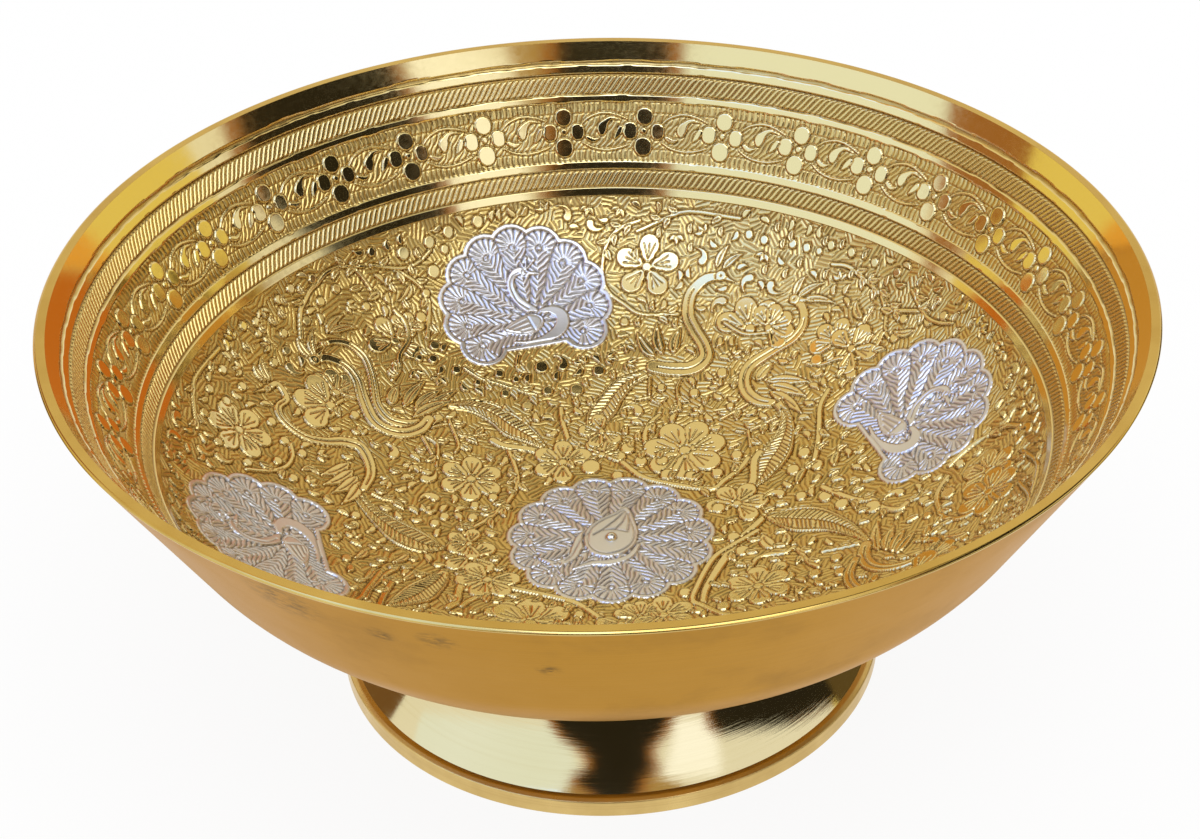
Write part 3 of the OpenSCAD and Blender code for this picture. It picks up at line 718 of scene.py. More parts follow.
def fan_gap(x, y):
    core = np.maximum(np.hypot(x, y) - FAN_R, -HUB_DROP - y)
    return np.minimum(core, scallop_gap(x, y, FAN_R, FAN_SCALLOPS, FAN_SWEEP))


def round_gap(x, y):
    return np.minimum(np.hypot(x, y) - ROUND_R, scallop_gap(x, y, ROUND_R, ROUND_SCALLOPS, 360))


def eye_places(radius, count, sweep):
    return [(radius * math.cos(a), radius * math.sin(a)) for a in scallop_bearings(count, sweep)]


def fan_plane(rho, angle, bearing, place):
    """Where points of the wall lie on the flat plane that a wall medallion is cut on."""
    at, way = bezier(*CURVE, [place])
    seat = at[0] + np.array([way[0][1], -way[0][0]]) * WALL_T
    b = math.radians(bearing)
    r, z, _, _ = WALL.at(rho)
    dr = r * np.cos(angle - b) - seat[0]
    across = -r * np.sin(angle - b)
    return across, dr * -way[0][0] + (z - seat[1]) * -way[0][1]


# The main field, drawn flat.
rng = np.random.default_rng(11)
FIELD_HALF = math.ceil(FIELD_RHO) + 1
field = Sheet(-FIELD_HALF, -FIELD_HALF, FIELD_HALF, FIELD_HALF)
FX, FY = field.x[None, :], field.y[:, None]
RHO = np.hypot(FX, FY).astype(np.float32)
ANGLE = np.arctan2(FY, FX).astype(np.float32)
owner = np.zeros(RHO.shape, np.int8)
medal_height = np.zeros(RHO.shape, np.float32)
silver = np.zeros(RHO.shape, np.float32)
medal_figure = np.zeros(RHO.shape, np.float32)


def lay_medallion(number, medal, across, up):
    """Puts a medallion's flat drawing where the field's points fall on it."""
    near = np.maximum(np.abs(across), np.abs(up)) < MEDALLION_SHEET - 0.5
    x, y = across[near], up[near]
    inside, height, figure = (medal.sheet.sample(v, x, y) for v in (medal.inside, medal.height, medal.figure))
    medal_height[near] = np.where(inside > 0, height, medal_height[near])
    silver[near] = np.maximum(silver[near], inside)
    medal_figure[near] = np.where(inside > 0, figure, medal_figure[near])
    owner[near] = np.where(inside > 0.5, number, owner[near])


round_medal = Medallion(round_gap, eye_places(ROUND_R, ROUND_SCALLOPS, 360), (-0.4, -0.4), centre_peacock)
fan_medal = Medallion(fan_gap, eye_places(FAN_R, FAN_SCALLOPS, FAN_SWEEP), (1.1, -3.7), fan_peacock)
lay_medallion(1, round_medal, np.broadcast_to(FX, RHO.shape), np.broadcast_to(FY, RHO.shape))
for number, (bearing, place) in enumerate(WALL_MEDALLIONS.values(), 2):
    turned = (ANGLE - math.radians(bearing) + math.pi) % (2 * math.pi) - math.pi
    across, up = fan_plane(RHO, ANGLE, bearing, place)
    # The flat plane also meets the far side of the bowl, where nothing is laid.
    across = np.where(np.abs(turned) < 0.6, across, 2 * MEDALLION_SHEET)
    lay_medallion(number, fan_medal, across, up)

KEEP_OUT = blurred(silver, 4) > 0.05

for quarter in (left_back_quarter, right_back_quarter, right_front_quarter, left_front_quarter):
    quarter(Patch(field))
# Turned copies of the quarters fill what is still free, chiefly the front that the near wall hides.
for turn in (180, 172, 188, 90, 270):
    again = Patch(field, turn, only_free=True)
    left_back_quarter(again)
    right_back_quarter(again)
for turn in (60, 120, 240, 300):
    right_front_quarter(Patch(field, turn, only_free=True))


def fill_gaps(sheet, tries, room, draw):
    """Drops small leaves into bare ground, each at least room from what is there."""
    for _ in range(tries):
        radius = FIELD_RHO * math.sqrt(rng.random())
        a = rng.random() * 2 * math.pi
        at = radius * toward(a)
        turn = rng.random() * 2 * math.pi
        if bare(sheet, [at], room):
            draw(sheet, at, turn)


def bare(sheet, points, reach):
    """True where there is no figure and no medallion within reach of any of the points."""
    for x, y in points:
        if math.hypot(x, y) > FIELD_RHO - reach - 0.3:
            return False
        win = sheet.window(x - reach, y - reach, x + reach, y + reach)[0]
        if sheet.raised[win].max() > STANDS or KEEP_OUT[win].any():
            return False
    return True


def vine_leaves(sheet, line, every, length, width):
    """Leaves on alternate sides of a vine, wherever there is bare ground for them."""
    run = run_along(line)
    side = 1
    for s in np.arange(every / 2, run[-1] - every / 4, every / 2):
        at, on = (np.array([np.interp(v, run, line[:, k]) for k in (0, 1)]) for v in (s, s + 0.1))
        way = (on - at) / max(np.hypot(*(on - at)), 1e-6)
        out = np.array([-way[1], way[0]]) * side
        root, tip = at + out * 0.62 + way * 0.15, at + out * length * 0.8 + way * length * 0.72
        if bare(sheet, [root + (tip - root) * share for share in (0.55, 0.8, 1.0)], 0.4):
            sheet.leaf(root, tip, width, -0.16 * side, gap=0.3)
            side = -side


for line in field.vines:
    vine_leaves(field, line, 4.2, 3.0, 1.45)


def small_leaf(sheet, at, turn, length=2.7, width=1.3, bend=0.2):
    half = toward(turn) * length / 2
    sheet.leaf(at - half, at + half, width, bend, vein=False, gap=0.3)


def sprig(sheet, at, turn):
    """Three leaves that spread from one point."""
    for lean in (-0.9, 0.0, 0.9):
        small_leaf(sheet, at + toward(turn + lean) * 1.1, turn + lean, 2.2, 1.05, 0.12 * np.sign(lean))


fill_gaps(field, 5000, 2.3, lambda s, p, t: s.comma(p, 1.9, t))
fill_gaps(field, 9000, 1.9, sprig)
fill_gaps(field, 16000, 1.2, small_leaf)

raised = blurred(field.raised, 0.5)
cuts = blurred(field.cut, 0.5)
ground = blurred(chisel_ground(FX, FY, 1.0, 2.8, rng), 0.4)
# A thin trench follows the edge of every figure.
trench = groove(blurred(field.raised, 1.7) - EDGE_AT, EDGE_AT) * (1 - raised)
bare_height = -FIELD_DROP - CHISEL_DEPTH * (1 - ground) * (1 - trench) - TRENCH_DEPTH * trench
field_height = bare_height * (1 - raised) - LINE_DEPTH * cuts * raised
keep = blurred(silver, 0.8)
edge_dip = np.clip(1 - np.abs(keep - 0.15) / 0.15, 0, 1) * 0.1
HEIGHT = field_height * (1 - keep) + medal_height * keep - edge_dip
POLISH = 0.8 * np.clip(raised - 0.9 * cuts, 0, 1) * (1 - silver) + 0.35 * medal_figure * silver
# How far each spot lies below its surroundings; the inside's colour darkens by it, partly as grime and partly
# as painted shade.
CAVITY = np.clip((blurred(HEIGHT, 4.5) - HEIGHT) / 0.15, 0, 1)


# The wall bands.
def band_noise(angle, waves, seed):
    """A slow, hand-made waver round the bowl."""
    local = np.random.default_rng(seed)
    return sum(local.random() * np.sin(k * angle + 6.28 * local.random()) for k in waves) / len(waves)


def between(s, band, waver=0.0, soft=0.12):
    """1 inside a band of the wall, falling off softly at its edges."""
    start = np.clip((s - band[0] - waver) / soft + 0.5, 0, 1)
    return start * np.clip((band[1] - waver - s) / soft + 0.5, 0, 1)


def rope(s, angle, band, notches):
    """Slanting ridges between cuts, rounded off at the band's edges."""
    mid, half = (band[0] + band[1]) / 2, (band[1] - band[0]) / 2
    v = (s - mid) / half
    lean = 0.75 * v * half - 0.10 * np.sin(v * 3.0)
    pitch = 2 * math.pi * ROPE_R / notches
    unevenness = 0.06 * band_noise(angle, (91, 173, 260), notches)
    phase = notches * -angle / (2 * math.pi) + lean / pitch + unevenness
    ridge = 1 - groove(phase - np.round(phase), 0.22)
    ends = np.clip((1 - np.abs(v)) / 0.16, 0, 1)
    return ridge * ends


# Lines of one repeat of the frieze beside its flower: points (along, down the wall, width), then the gap.
FRIEZE_LINES = [
    ([(3.9, 17.6, 0.3), (5.6, 16.2, 0.45), (8.3, 15.35, 0.55), (11.0, 15.7, 0.5), (13.6, 16.7, 0.3)], 0.4),
    ([(3.9, 21.6, 0.3), (6.0, 22.8, 0.45), (8.6, 23.3, 0.5), (11.2, 23.1, 0.5), (14.0, 22.2, 0.3)], 0.4),
    ([(8.1, 19.6, 1.4), (8.2, 18.6, 2.1), (8.9, 17.4, 1.3), (10.2, 16.5, 0.7), (12.4, 16.9, 0.2)], 0.4),
    ([(12.2, 18.6, 1.0), (11.6, 19.8, 1.2), (10.8, 21.0, 0.4)], 0.4),
    ([(5.0, 20.6, 0.9), (6.2, 21.2, 1.0), (7.4, 20.9, 0.3)], 0.35),
]
# The flower's petals: place from its middle, width, and how much longer than wide.
FRIEZE_PETALS = [(0.1, -3.1, 3.6, 0.3), (-0.1, 3.4, 3.9, 0.3), (-2.95, 0, 3.1, 0.8), (2.95, 0.1, 2.9, 0.8)]
FRIEZE_PITCH = 2 * math.pi * FRIEZE_R / FRIEZE_FLOWERS


def frieze_tile():
    """One repeat of the frieze, centred on its four-petalled flower."""
    tile = Sheet(-FRIEZE_PITCH / 2, FRIEZE[0], FRIEZE_PITCH / 2, FRIEZE[1])
    mid = FRIEZE_MID
    for dx, dy, w, tall in FRIEZE_PETALS:
        tile.figure_line([(dx, mid + dy - tall / 2, w), (dx, mid + dy + tall / 2, w)], 0.5)
    tile.figure_line([(0, mid, 1.3), (0.02, mid, 1.3)], 0.4)
    for shift in (0, -FRIEZE_PITCH):
        for points, gap in FRIEZE_LINES:
            p = np.array(points, float)
            p[:, 0] += shift
            tile.figure_line(smooth(p), gap)
    return tile


# Rows of vertices down the wall and columns round it; the last row drops under the field's edge.
turns = int(round(2 * math.pi / (STEP * MESH_EVERY / WIDEST_R) / SECTORS)) * SECTORS
BAND_ANGLE = (np.arange(turns + 1) * 2 * math.pi / turns)[None, :]
BAND_END = LAST_RING[1]
BAND_S = np.concatenate([np.arange(0, BAND_END, STEP * MESH_EVERY), [BAND_END, BAND_END + 0.12]])[:, None]
GROUND = -(CARVE + 0.02)


def frieze_relief(s, a):
    """Height and raised share of the frieze: flowers and scrolls on a hatched ground."""
    tile = frieze_tile()
    # Bearing of the first flower, so that one stands a little right of the back.
    first = math.radians(90 - 5.6)
    x = ((first - a) * FRIEZE_R + FRIEZE_PITCH / 2) % FRIEZE_PITCH - FRIEZE_PITCH / 2
    x, y = np.broadcast_arrays(x, s)
    leaf = tile.sample(blurred(tile.raised, 0.6), x, y)
    uneven = 0.25 * band_noise(a, (143, 211, 307, 401), 9)
    # Slanting cuts in the middle row, upright ones above and below it.
    upright = (first - a) * FRIEZE_R / 1.15 + 0.08 * np.sin(s * 2.1) + uneven
    slant = ((first - a) * FRIEZE_R + (s - 19) * 0.6) / 1.2 + 0.2 * np.sin(s * 1.7) + uneven
    row = np.abs(s - HATCH_MID)
    hatch = np.where(row > HATCH_HALF, upright, slant)
    hatch = (1 - groove(hatch - np.round(hatch), 0.22)) * np.clip(np.abs(row - HATCH_HALF) / 0.2, 0, 1)
    rim = groove(tile.sample(blurred(tile.raised, 1.7), x, y) - EDGE_AT, EDGE_AT) * (1 - leaf)
    return (GROUND + HATCH_DEPTH * hatch * (1 - rim) - 0.08 * rim) * (1 - leaf) - 0.02 * leaf, leaf


def band_relief():
    """Height above ring level and polish of the whole straight wall."""
    s, a = BAND_S, BAND_ANGLE
    waver = 0.22 * band_noise(a, (37, 59, 97, 131), 3)
    other = 0.22 * band_noise(a, (41, 67, 89, 127), 5)
    loose = 0.5 * band_noise(a, (23, 41, 61, 89), 7)
    rings = between(s, (-LIP_BAND[1], LIP_BAND[1]), loose)
    for band, w in ((TOP_RING, waver), (UPPER_RING, other), (LOWER_RING, waver), (LAST_RING, other * 0.5)):
        rings = np.maximum(rings, between(s, band, w))
    upper = rope(s, a, (UPPER_ROPE[0] + 0.35, UPPER_ROPE[1] - 0.1), UPPER_NOTCHES)
    lower = rope(s, a, (LOWER_ROPE[0] + 0.15, LOWER_ROPE[1] - 0.1), LOWER_NOTCHES)
    in_rope = np.maximum(between(s, UPPER_ROPE, soft=0.1), between(s, LOWER_ROPE, soft=0.1))
    ropes = np.where(s < FRIEZE_MID, upper, lower) * in_rope
    frieze, leaf = frieze_relief(s, a)
    in_frieze = between(s, FRIEZE, soft=0.1) > 0.5
    carved = np.where(in_frieze, frieze, GROUND + ROPE_DEPTH * ropes)
    carved = np.where((s > HAIRLINE[0] - 0.3) & (s < HAIRLINE[1] + 0.3), -HAIRLINE_DEPTH, carved)
    height = carved * (1 - rings)
    height = np.where(s > BAND_END - 0.02, 0.0, height)
    height = np.where(s > BAND_END + 0.05, -(CARVE + 0.25), height)
    return height, np.maximum(rings, np.where(in_frieze, leaf, 0.25 * ropes))


BAND_HEIGHT, BAND_POLISH = band_relief()
# The same for the bands: their hollows darken by it, partly as grime and partly as painted shade.
BAND_CAVITY = np.clip((blurred(BAND_HEIGHT.astype(np.float32), 2.4) - BAND_HEIGHT) / 0.24, 0, 1)


# Making meshes.
def grid_normals(points, wrap=False):
    """Normals of a grid of points, taken over the whole grid so that pieces meet without a seam."""
    dv = np.gradient(points, axis=0)
    if wrap:
        wide = np.concatenate([points[:, -2:-1], points, points[:, 1:2]], 1)
        du = (wide[:, 2:] - wide[:, :-2]) / 2
    else:
        du = np.gradient(points, axis=1)
    n = np.cross(du, dv)
    return n / np.maximum(np.linalg.norm(n, axis=-1, keepdims=True), 1e-12)


def grid_piece(name, points, normals, keep, layers, uv, flip=False):
    """A mesh of the kept cells of a grid, with its own normals, layers and texture places."""
    used = np.zeros(points.shape[:2], bool)
    for dj in (0, 1):
        for di in (0, 1):
            used[dj:dj + keep.shape[0], di:di + keep.shape[1]] |= keep
    index = np.full(used.shape, -1, np.int64)
    index[used] = np.arange(used.sum())
    corners = [index[:-1, :-1], index[:-1, 1:], index[1:, 1:], index[1:, :-1]]
    if flip:
        corners = corners[::-1]
    quads = np.stack([c[keep] for c in corners], 1)
    return make_mesh(name, points[used], quads, normals[used],
                     {k: v[used] for k, v in layers.items()}, np.stack([u[used] for u in uv], 1))


def make_mesh(name, verts, quads, normals, layers, uv):
    mesh = bpy.data.meshes.new(name)
    mesh.vertices.add(len(verts))
    mesh.vertices.foreach_set("co", np.ascontiguousarray(verts, np.float32).ravel())
    mesh.loops.add(quads.size)
    mesh.loops.foreach_set("vertex_index", quads.ravel().astype(np.int32))
    mesh.polygons.add(len(quads))
    mesh.polygons.foreach_set("loop_start", np.arange(0, quads.size, 4, dtype=np.int32))
    mesh.update(calc_edges=True)
    mesh.polygons.foreach_set("use_smooth", np.ones(len(quads), bool))
    for key, values in layers.items():
        layer = mesh.attributes.new(key, "FLOAT", "POINT")
        layer.data.foreach_set("value", np.ascontiguousarray(values, np.float32).ravel())
    lo, hi = uv.min(0), uv.max(0)
    uv = 0.01 + 0.98 * (uv - lo) / (hi - lo).max()
    mesh.uv_layers.new(name="OFBake").data.foreach_set("uv", uv[quads.ravel()].astype(np.float32).ravel())
    mesh.normals_split_custom_set_from_vertices(np.ascontiguousarray(normals, np.float32))
    obj = bpy.data.objects.new(name, mesh)
    bpy.context.scene.collection.objects.link(obj)
    return obj


def turned_round(radius, height, a):
    """Grid of vectors from a section's radii and heights, one column for each angle of a."""
    level = np.broadcast_to(height[:, None], (len(height), len(a)))
    return np.stack([radius[:, None] * np.cos(a), radius[:, None] * np.sin(a), level], -1)


def lathe(name, section, around=360, flip=False):
    """A turned piece from a section of (radius, height), with flip for faces that look the other way."""
    p = np.array(section, float) * MM
    a = np.arange(around + 1) * 2 * math.pi / around
    points = turned_round(p[:, 0], p[:, 1], a)
    # Each point's direction is the mean of its two neighbouring pieces of the section.
    step = np.diff(p, axis=0)
    length = np.linalg.norm(step, axis=1)
    step = step / np.maximum(length, 1e-9)[:, None]
    way = np.vstack([step[:1], step]) + np.vstack([step, step[-1:]])
    way /= np.maximum(np.linalg.norm(way, axis=1, keepdims=True), 1e-9)
    normals = turned_round(way[:, 1], -way[:, 0], a)
    keep = np.ones((len(p) - 1, around), bool)
    u = np.broadcast_to(a * TEXTURE_R * MM, points.shape[:2])
    v = np.broadcast_to(np.concatenate([[0], np.cumsum(length)])[:, None], points.shape[:2])
    return grid_piece(name, points, -normals if flip else normals, keep, {}, (u, v), flip=flip)


def rounded(corners, radii, parts=5):
    """A section whose corners are rounded off, each by its own radius."""
    out = [np.array(corners[0], float)]
    for k in range(1, len(corners) - 1):
        a, b, c = (np.array(corners[i], float) for i in (k - 1, k, k + 1))
        back, on = (a - b) / np.linalg.norm(a - b), (c - b) / np.linalg.norm(c - b)
        p = b + back * min(radii[k], np.linalg.norm(a - b) * 0.45)
        q = b + on * min(radii[k], np.linalg.norm(c - b) * 0.45)
        # A point just off each end keeps the flat beside the corner flat.
        out.append(p + back * 0.02)
        for t in np.linspace(0, 1, parts):
            out.append(p * (1 - t) ** 2 + b * 2 * t * (1 - t) + q * t * t)
        out.append(q + on * 0.02)
    out.append(np.array(corners[-1], float))
    return out


# Materials.
class Tree:
    """The nodes of a material or world, with short ways to add to them."""

    def __init__(self, holder):
        holder.use_nodes = True
        self.holder = holder
        self.nodes, self.links = holder.node_tree.nodes, holder.node_tree.links

    def add(self, kind, **values):
        """A new node; each value goes into the input of that name, or else is a setting of the node."""
        made = self.nodes.new(kind)
        for key, value in values.items():
            if key in made.inputs:
                made.inputs[key].default_value = value
            else:
                setattr(made, key, value)
        return made

    def feed(self, sockets, values):
        """Puts values into inputs, pair by pair; each is an output of another node or a plain value."""
        for socket, value in zip(sockets, values):
            if isinstance(value, bpy.types.NodeSocket):
                self.links.new(value, socket)
            else:
                socket.default_value = value

    def mix(self, share, a, b):
        made = self.add("ShaderNodeMix", data_type="RGBA")
        self.feed([made.inputs[i] for i in (0, 6, 7)], (share, a, b))
        return made.outputs[2]

    def ramp(self, source, low, high, to_low=0.0, to_high=1.0):
        made = self.nodes.new("ShaderNodeMapRange")
        self.feed(made.inputs, (source, low, high, to_low, to_high))
        return made.outputs[0]

    def blend(self, layer, low, high, a, b, most=1.0):
        """From a to b, up to the share most, as the layer goes from low to high."""
        return self.mix(self.ramp(layer, low, high, 0, most), a, b)

    def noise(self, scale, detail=3.0, stretch=(1, 1, 1), rough=0.5):
        scaled = self.add("ShaderNodeMapping", Scale=stretch)
        self.links.new(self.nodes.new("ShaderNodeTexCoord").outputs["Object"], scaled.inputs[0])
        made = self.add("ShaderNodeTexNoise", Scale=scale, Detail=detail, Roughness=rough)
        self.links.new(scaled.outputs[0], made.inputs["Vector"])
        return made.outputs["Fac"]

    def turned(self, scale, detail, rings, rough):
        """Noise drawn out into fine lines round the axis: rings sets how fine."""
        return self.noise(scale, detail, (1, 1, rings), rough)

    def layer(self, name):
        return self.add("ShaderNodeAttribute", attribute_name=name).outputs["Fac"]

    def math(self, kind, a, b):
        made = self.add("ShaderNodeMath", operation=kind)
        self.feed(made.inputs, (a, b))
        return made.outputs[0]

    def mix_shader(self, share, a, b):
        """Ends the tree in a mix of two shaders."""
        made = self.nodes.new("ShaderNodeMixShader")
        self.feed(made.inputs, (share, a, b))
        self.links.new(made.outputs[0], self.nodes["Material Output"].inputs[0])

    def metal(self, colour, rough, relief, strength, depth=0.00005):
        """Ends the tree as a metal whose fine relief breaks its shine."""
        bump = self.add("ShaderNodeBump", Strength=strength, Distance=depth)
        shader = self.nodes["Principled BSDF"]
        shader.inputs["Metallic"].default_value = 1.0
        self.feed([bump.inputs["Height"], *(shader.inputs[k] for k in ("Base Color", "Roughness", "Normal"))],
                  (relief, colour, rough, bump.outputs[0]))
        return self.holder


def new_tree(name):
    return Tree(bpy.data.materials.new(name))


def srgb(r, g, b):
    """Colour as seen on screen, 0 to 255, to the renderer's own scale."""
    return (*[(c / 255 / 12.92) if c < 10 else ((c / 255 + 0.055) / 1.055) ** 2.4 for c in (r, g, b)], 1)


def engraved_metal():
    """Brass of the carved inside, silvered where the silver layer says so, dark in its hollows with grime and
    painted shade.
    """
    tree = new_tree("engraved brass")
    cavity, silvered, polish = (tree.layer(k) for k in ("cavity", "silver", "polish"))
    wide, fine = tree.noise(14), tree.noise(900, 4)
    gold = tree.blend(wide, 0.35, 0.65, srgb(208, 180, 108), srgb(216, 190, 120))
    gold = tree.mix(polish, gold, srgb(230, 211, 152))
    # Hollows of the brass turn brown, partly grime and partly painted shade, darkest where the carving lies
    # deepest.
    cut = tree.blend(fine, 0.4, 0.65, srgb(128, 88, 36), srgb(92, 62, 26))
    gold = tree.blend(cavity, 0.1, 0.95, gold, cut, 0.84)
    pale = tree.blend(wide, 0.4, 0.6, srgb(220, 219, 221), srgb(210, 208, 207))
    # Hollows of the silver turn grey, partly grime and partly painted shade.
    grime_and_shade = tree.blend(fine, 0.4, 0.65, srgb(112, 106, 98), srgb(84, 79, 72))
    pale = tree.blend(cavity, 0.15, 1.0, pale, grime_and_shade, 0.85)
    rough = tree.ramp(polish, 0, 1, 0.26, 0.08)
    rough = tree.math("ADD", rough, tree.ramp(fine, 0.3, 0.7, 0, 0.05))
    rough = tree.math("ADD", rough, tree.math("MULTIPLY", silvered, 0.10))
    grain = tree.math("MULTIPLY", tree.noise(2200), tree.math("SUBTRACT", 1.0, polish))
    return tree.metal(tree.mix(silvered, gold, pale), rough, grain, 0.3, 0.00006)


# Small dark stains on the outside: place and reach, in mm.
SMUDGES = [((-51, -84, 77), 8.0), ((-36, -90, 73.5), 3.2), ((-27, -94, 75.5), 4.0), ((-10, -93, 68), 2.6)]


def smudge(tree, place, size):
    """Share of a stain that fades out from its place and is broken up by fine noise."""
    away = tree.add("ShaderNodeVectorMath", operation="DISTANCE")
    here = tree.nodes.new("ShaderNodeTexCoord").outputs["Object"]
    tree.feed(away.inputs, (here, [v * MM for v in place]))
    near = tree.ramp(away.outputs["Value"], 0, size * MM, 1.0, 0)
    return tree.math("MULTIPLY", near, tree.ramp(tree.turned(420, 4, 2.5, 0.7), 0.42, 0.62))


def satin_brass():
    """Outer face: brushed round on the lathe, warm, with faint stains."""
    tree = new_tree("satin brass")
    tree.nodes["Principled BSDF"].inputs["Specular Tint"].default_value = srgb(255, 234, 206)
    cloud = tree.noise(32, 5, rough=0.6)
    colour = tree.blend(tree.noise(9, 4), 0.35, 0.65, srgb(178, 130, 34), srgb(185, 138, 42))
    colour = tree.blend(tree.turned(12, 4, 160, 0.65), 0.35, 0.7, colour, srgb(164, 118, 30), 0.3)
    colour = tree.blend(cloud, 0.52, 0.74, colour, srgb(134, 98, 48), 0.5)
    for place, size in SMUDGES:
        colour = tree.mix(smudge(tree, place, size), colour, srgb(52, 34, 20))
    return tree.metal(colour, tree.ramp(cloud, 0.3, 0.7, 0.30, 0.40), tree.turned(14, 5, 260, 0.7), 0.35)


def mirror_brass():
    """Foot: turned and polished bright, with the finest turning lines."""
    tree = new_tree("mirror brass")
    lines = tree.turned(10, 5, 240, 0.7)
    colour = tree.blend(tree.noise(20), 0.35, 0.65, srgb(222, 208, 160), srgb(228, 214, 170))
    colour = tree.blend(lines, 0.45, 0.75, colour, srgb(206, 180, 112), 0.12)
    return tree.metal(colour, tree.ramp(lines, 0.3, 0.7, 0.05, 0.11), lines, 0.3)


def edge_brass():
    """Plain edge of the foot and its underside: duller, tarnished brass."""
    tree = new_tree("edge brass")
    cloud, lines = tree.noise(60, 5, rough=0.6), tree.turned(14, 4, 200, 0.65)
    colour = tree.blend(cloud, 0.35, 0.7, srgb(224, 194, 126), srgb(200, 168, 102))
    colour = tree.blend(lines, 0.5, 0.75, colour, srgb(158, 118, 58), 0.3)
    return tree.metal(colour, tree.ramp(cloud, 0.3, 0.7, 0.24, 0.38), lines, 0.3)


def lip_brass():
    """Top of the lip: smooth, handled brass between satin and mirror."""
    tree = new_tree("lip brass")
    cloud = tree.noise(45, 4, rough=0.6)
    colour = tree.blend(cloud, 0.35, 0.7, srgb(216, 186, 108), srgb(198, 164, 86))
    return tree.metal(colour, tree.ramp(cloud, 0.3, 0.7, 0.10, 0.2), tree.noise(160, 4), 0.2, 0.00004)


def rivet_metal():
    tree = new_tree("rivet metal")
    cloud = tree.noise(700, 4)
    colour = tree.blend(cloud, 0.3, 0.7, srgb(206, 204, 198), srgb(226, 226, 224))
    return tree.metal(colour, tree.ramp(cloud, 0.3, 0.7, 0.14, 0.26), cloud, 0.2, 0.00004)


ENGRAVED, SATIN, MIRROR, EDGE = engraved_metal(), satin_brass(), mirror_brass(), edge_brass()
LIP, RIVET = lip_brass(), rivet_metal()


def coat(obj, material):
    obj.data.materials.clear()
    obj.data.materials.append(material)


def dress(obj, material, slot, *nodes_replaced):
    """Gives a piece its material, hangs it from the root body and hides the nodes of the frame that it stands
    for.
    """
    coat(obj, material)
    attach(obj, "root")
    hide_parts(*nodes_replaced)


# The carved inside face.
grid = slice(None, None, MESH_EVERY)
rho_g, angle_g, height_g = RHO[grid, grid], ANGLE[grid, grid], HEIGHT[grid, grid]
points = WALL.place(rho_g, angle_g, height_g)
normals = grid_normals(points)
layers = {"silver": silver[grid, grid], "cavity": CAVITY[grid, grid], "polish": POLISH[grid, grid]}
gx, gy = np.broadcast_arrays(field.x[grid][None, :], field.y[grid][:, None])
cell_rho = np.hypot(gx[:-1, :-1] + STEP, gy[:-1, :-1] + STEP)
cell_angle = np.arctan2(gy[:-1, :-1] + STEP, gx[:-1, :-1] + STEP) % (2 * math.pi)
cell_owner = owner[grid, grid][:-1, :-1]
inside_field = (cell_rho < FIELD_RHO + 0.25) & (cell_rho > HOLE_R)
sector = np.minimum((cell_angle / (2 * math.pi) * SECTORS).astype(int), SECTORS - 1)
for k in range(SECTORS):
    keep = inside_field & (sector == k) & (cell_owner == 0)
    piece = grid_piece(f"bowl_field_{k + 1}", points, normals, keep, layers, (gx, gy))
    dress(piece, ENGRAVED, "engraved_brass", "bowl")
for number, name in enumerate(("centre_medallion", *WALL_MEDALLIONS), 1):
    keep = inside_field & (cell_owner == number)
    piece = grid_piece(f"{name}_relief", points, normals, keep, layers, (gx, gy))
    dress(piece, ENGRAVED, "silvered_brass", name)

band_rho = np.broadcast_to(WALL.length - BAND_S, BAND_HEIGHT.shape)
band_angle = np.broadcast_to(BAND_ANGLE, BAND_HEIGHT.shape)
points = WALL.place(band_rho, band_angle, BAND_HEIGHT)
normals = grid_normals(points, wrap=True)
layers = {"silver": np.zeros_like(BAND_HEIGHT), "cavity": BAND_CAVITY, "polish": BAND_POLISH}
per_sector = turns // SECTORS
places = (band_angle * FRIEZE_R * MM, band_rho * MM)
for k in range(SECTORS):
    keep = np.zeros((len(BAND_S) - 1, turns), bool)
    keep[:, k * per_sector:(k + 1) * per_sector] = True
    piece = grid_piece(f"bowl_bands_{k + 1}", points, normals, keep, layers, places)
    dress(piece, ENGRAVED, "polished_brass", "bowl")

# The outside and the foot.
outer, outer_way = bezier(*CURVE, np.linspace(0, 1, 60))
lip_turn = LIP_OUTER + WALL_DIR * 0.3
lip = rounded([LIP_INNER + WALL_DIR * 0.02, LIP_INNER, (RIM_R - LIP_BEVEL, RIM_H), LIP_OUTER, lip_turn],
              [0, 0.05, 0.25, 0.2, 0])
dress(lathe("bowl_lip", lip[::-1], 480), LIP, "polished_brass", "bowl")
straight = [LIP_OUTER + WALL_DIR * d for d in np.linspace(0.5, WALL_STRAIGHT - 1, 30)]
shell = [(HOLE_R, SEAT_H), *outer[::-1], *straight[::-1], lip_turn]
dress(lathe("bowl_outside", shell, 480), SATIN, "polished_brass", "bowl")

# The neck meets the bowl's outer face where that face is as wide as the neck.
NECK_Z = float(np.interp(NECK_R, outer[::-1, 0], outer[::-1, 1]))
flare_a = np.array([FOOT_R - FOOT_STEP_W, FOOT_EDGE_H + FOOT_STEP_H])
flare_w, flare_h = flare_a[0] - NECK_R, NECK_Z - flare_a[1]
FLARE = (flare_a, flare_a + [-flare_w * FLARE_LOW[0], flare_h * FLARE_LOW[1]],
         flare_a + [-flare_w * FLARE_HIGH[0], flare_h * FLARE_HIGH[1]], (NECK_R, NECK_Z))
flare, flare_way = bezier(*FLARE, np.linspace(0, 1, 60))
flare_in = flare + np.stack([-flare_way[:, 1], flare_way[:, 0]], 1) * FOOT_T
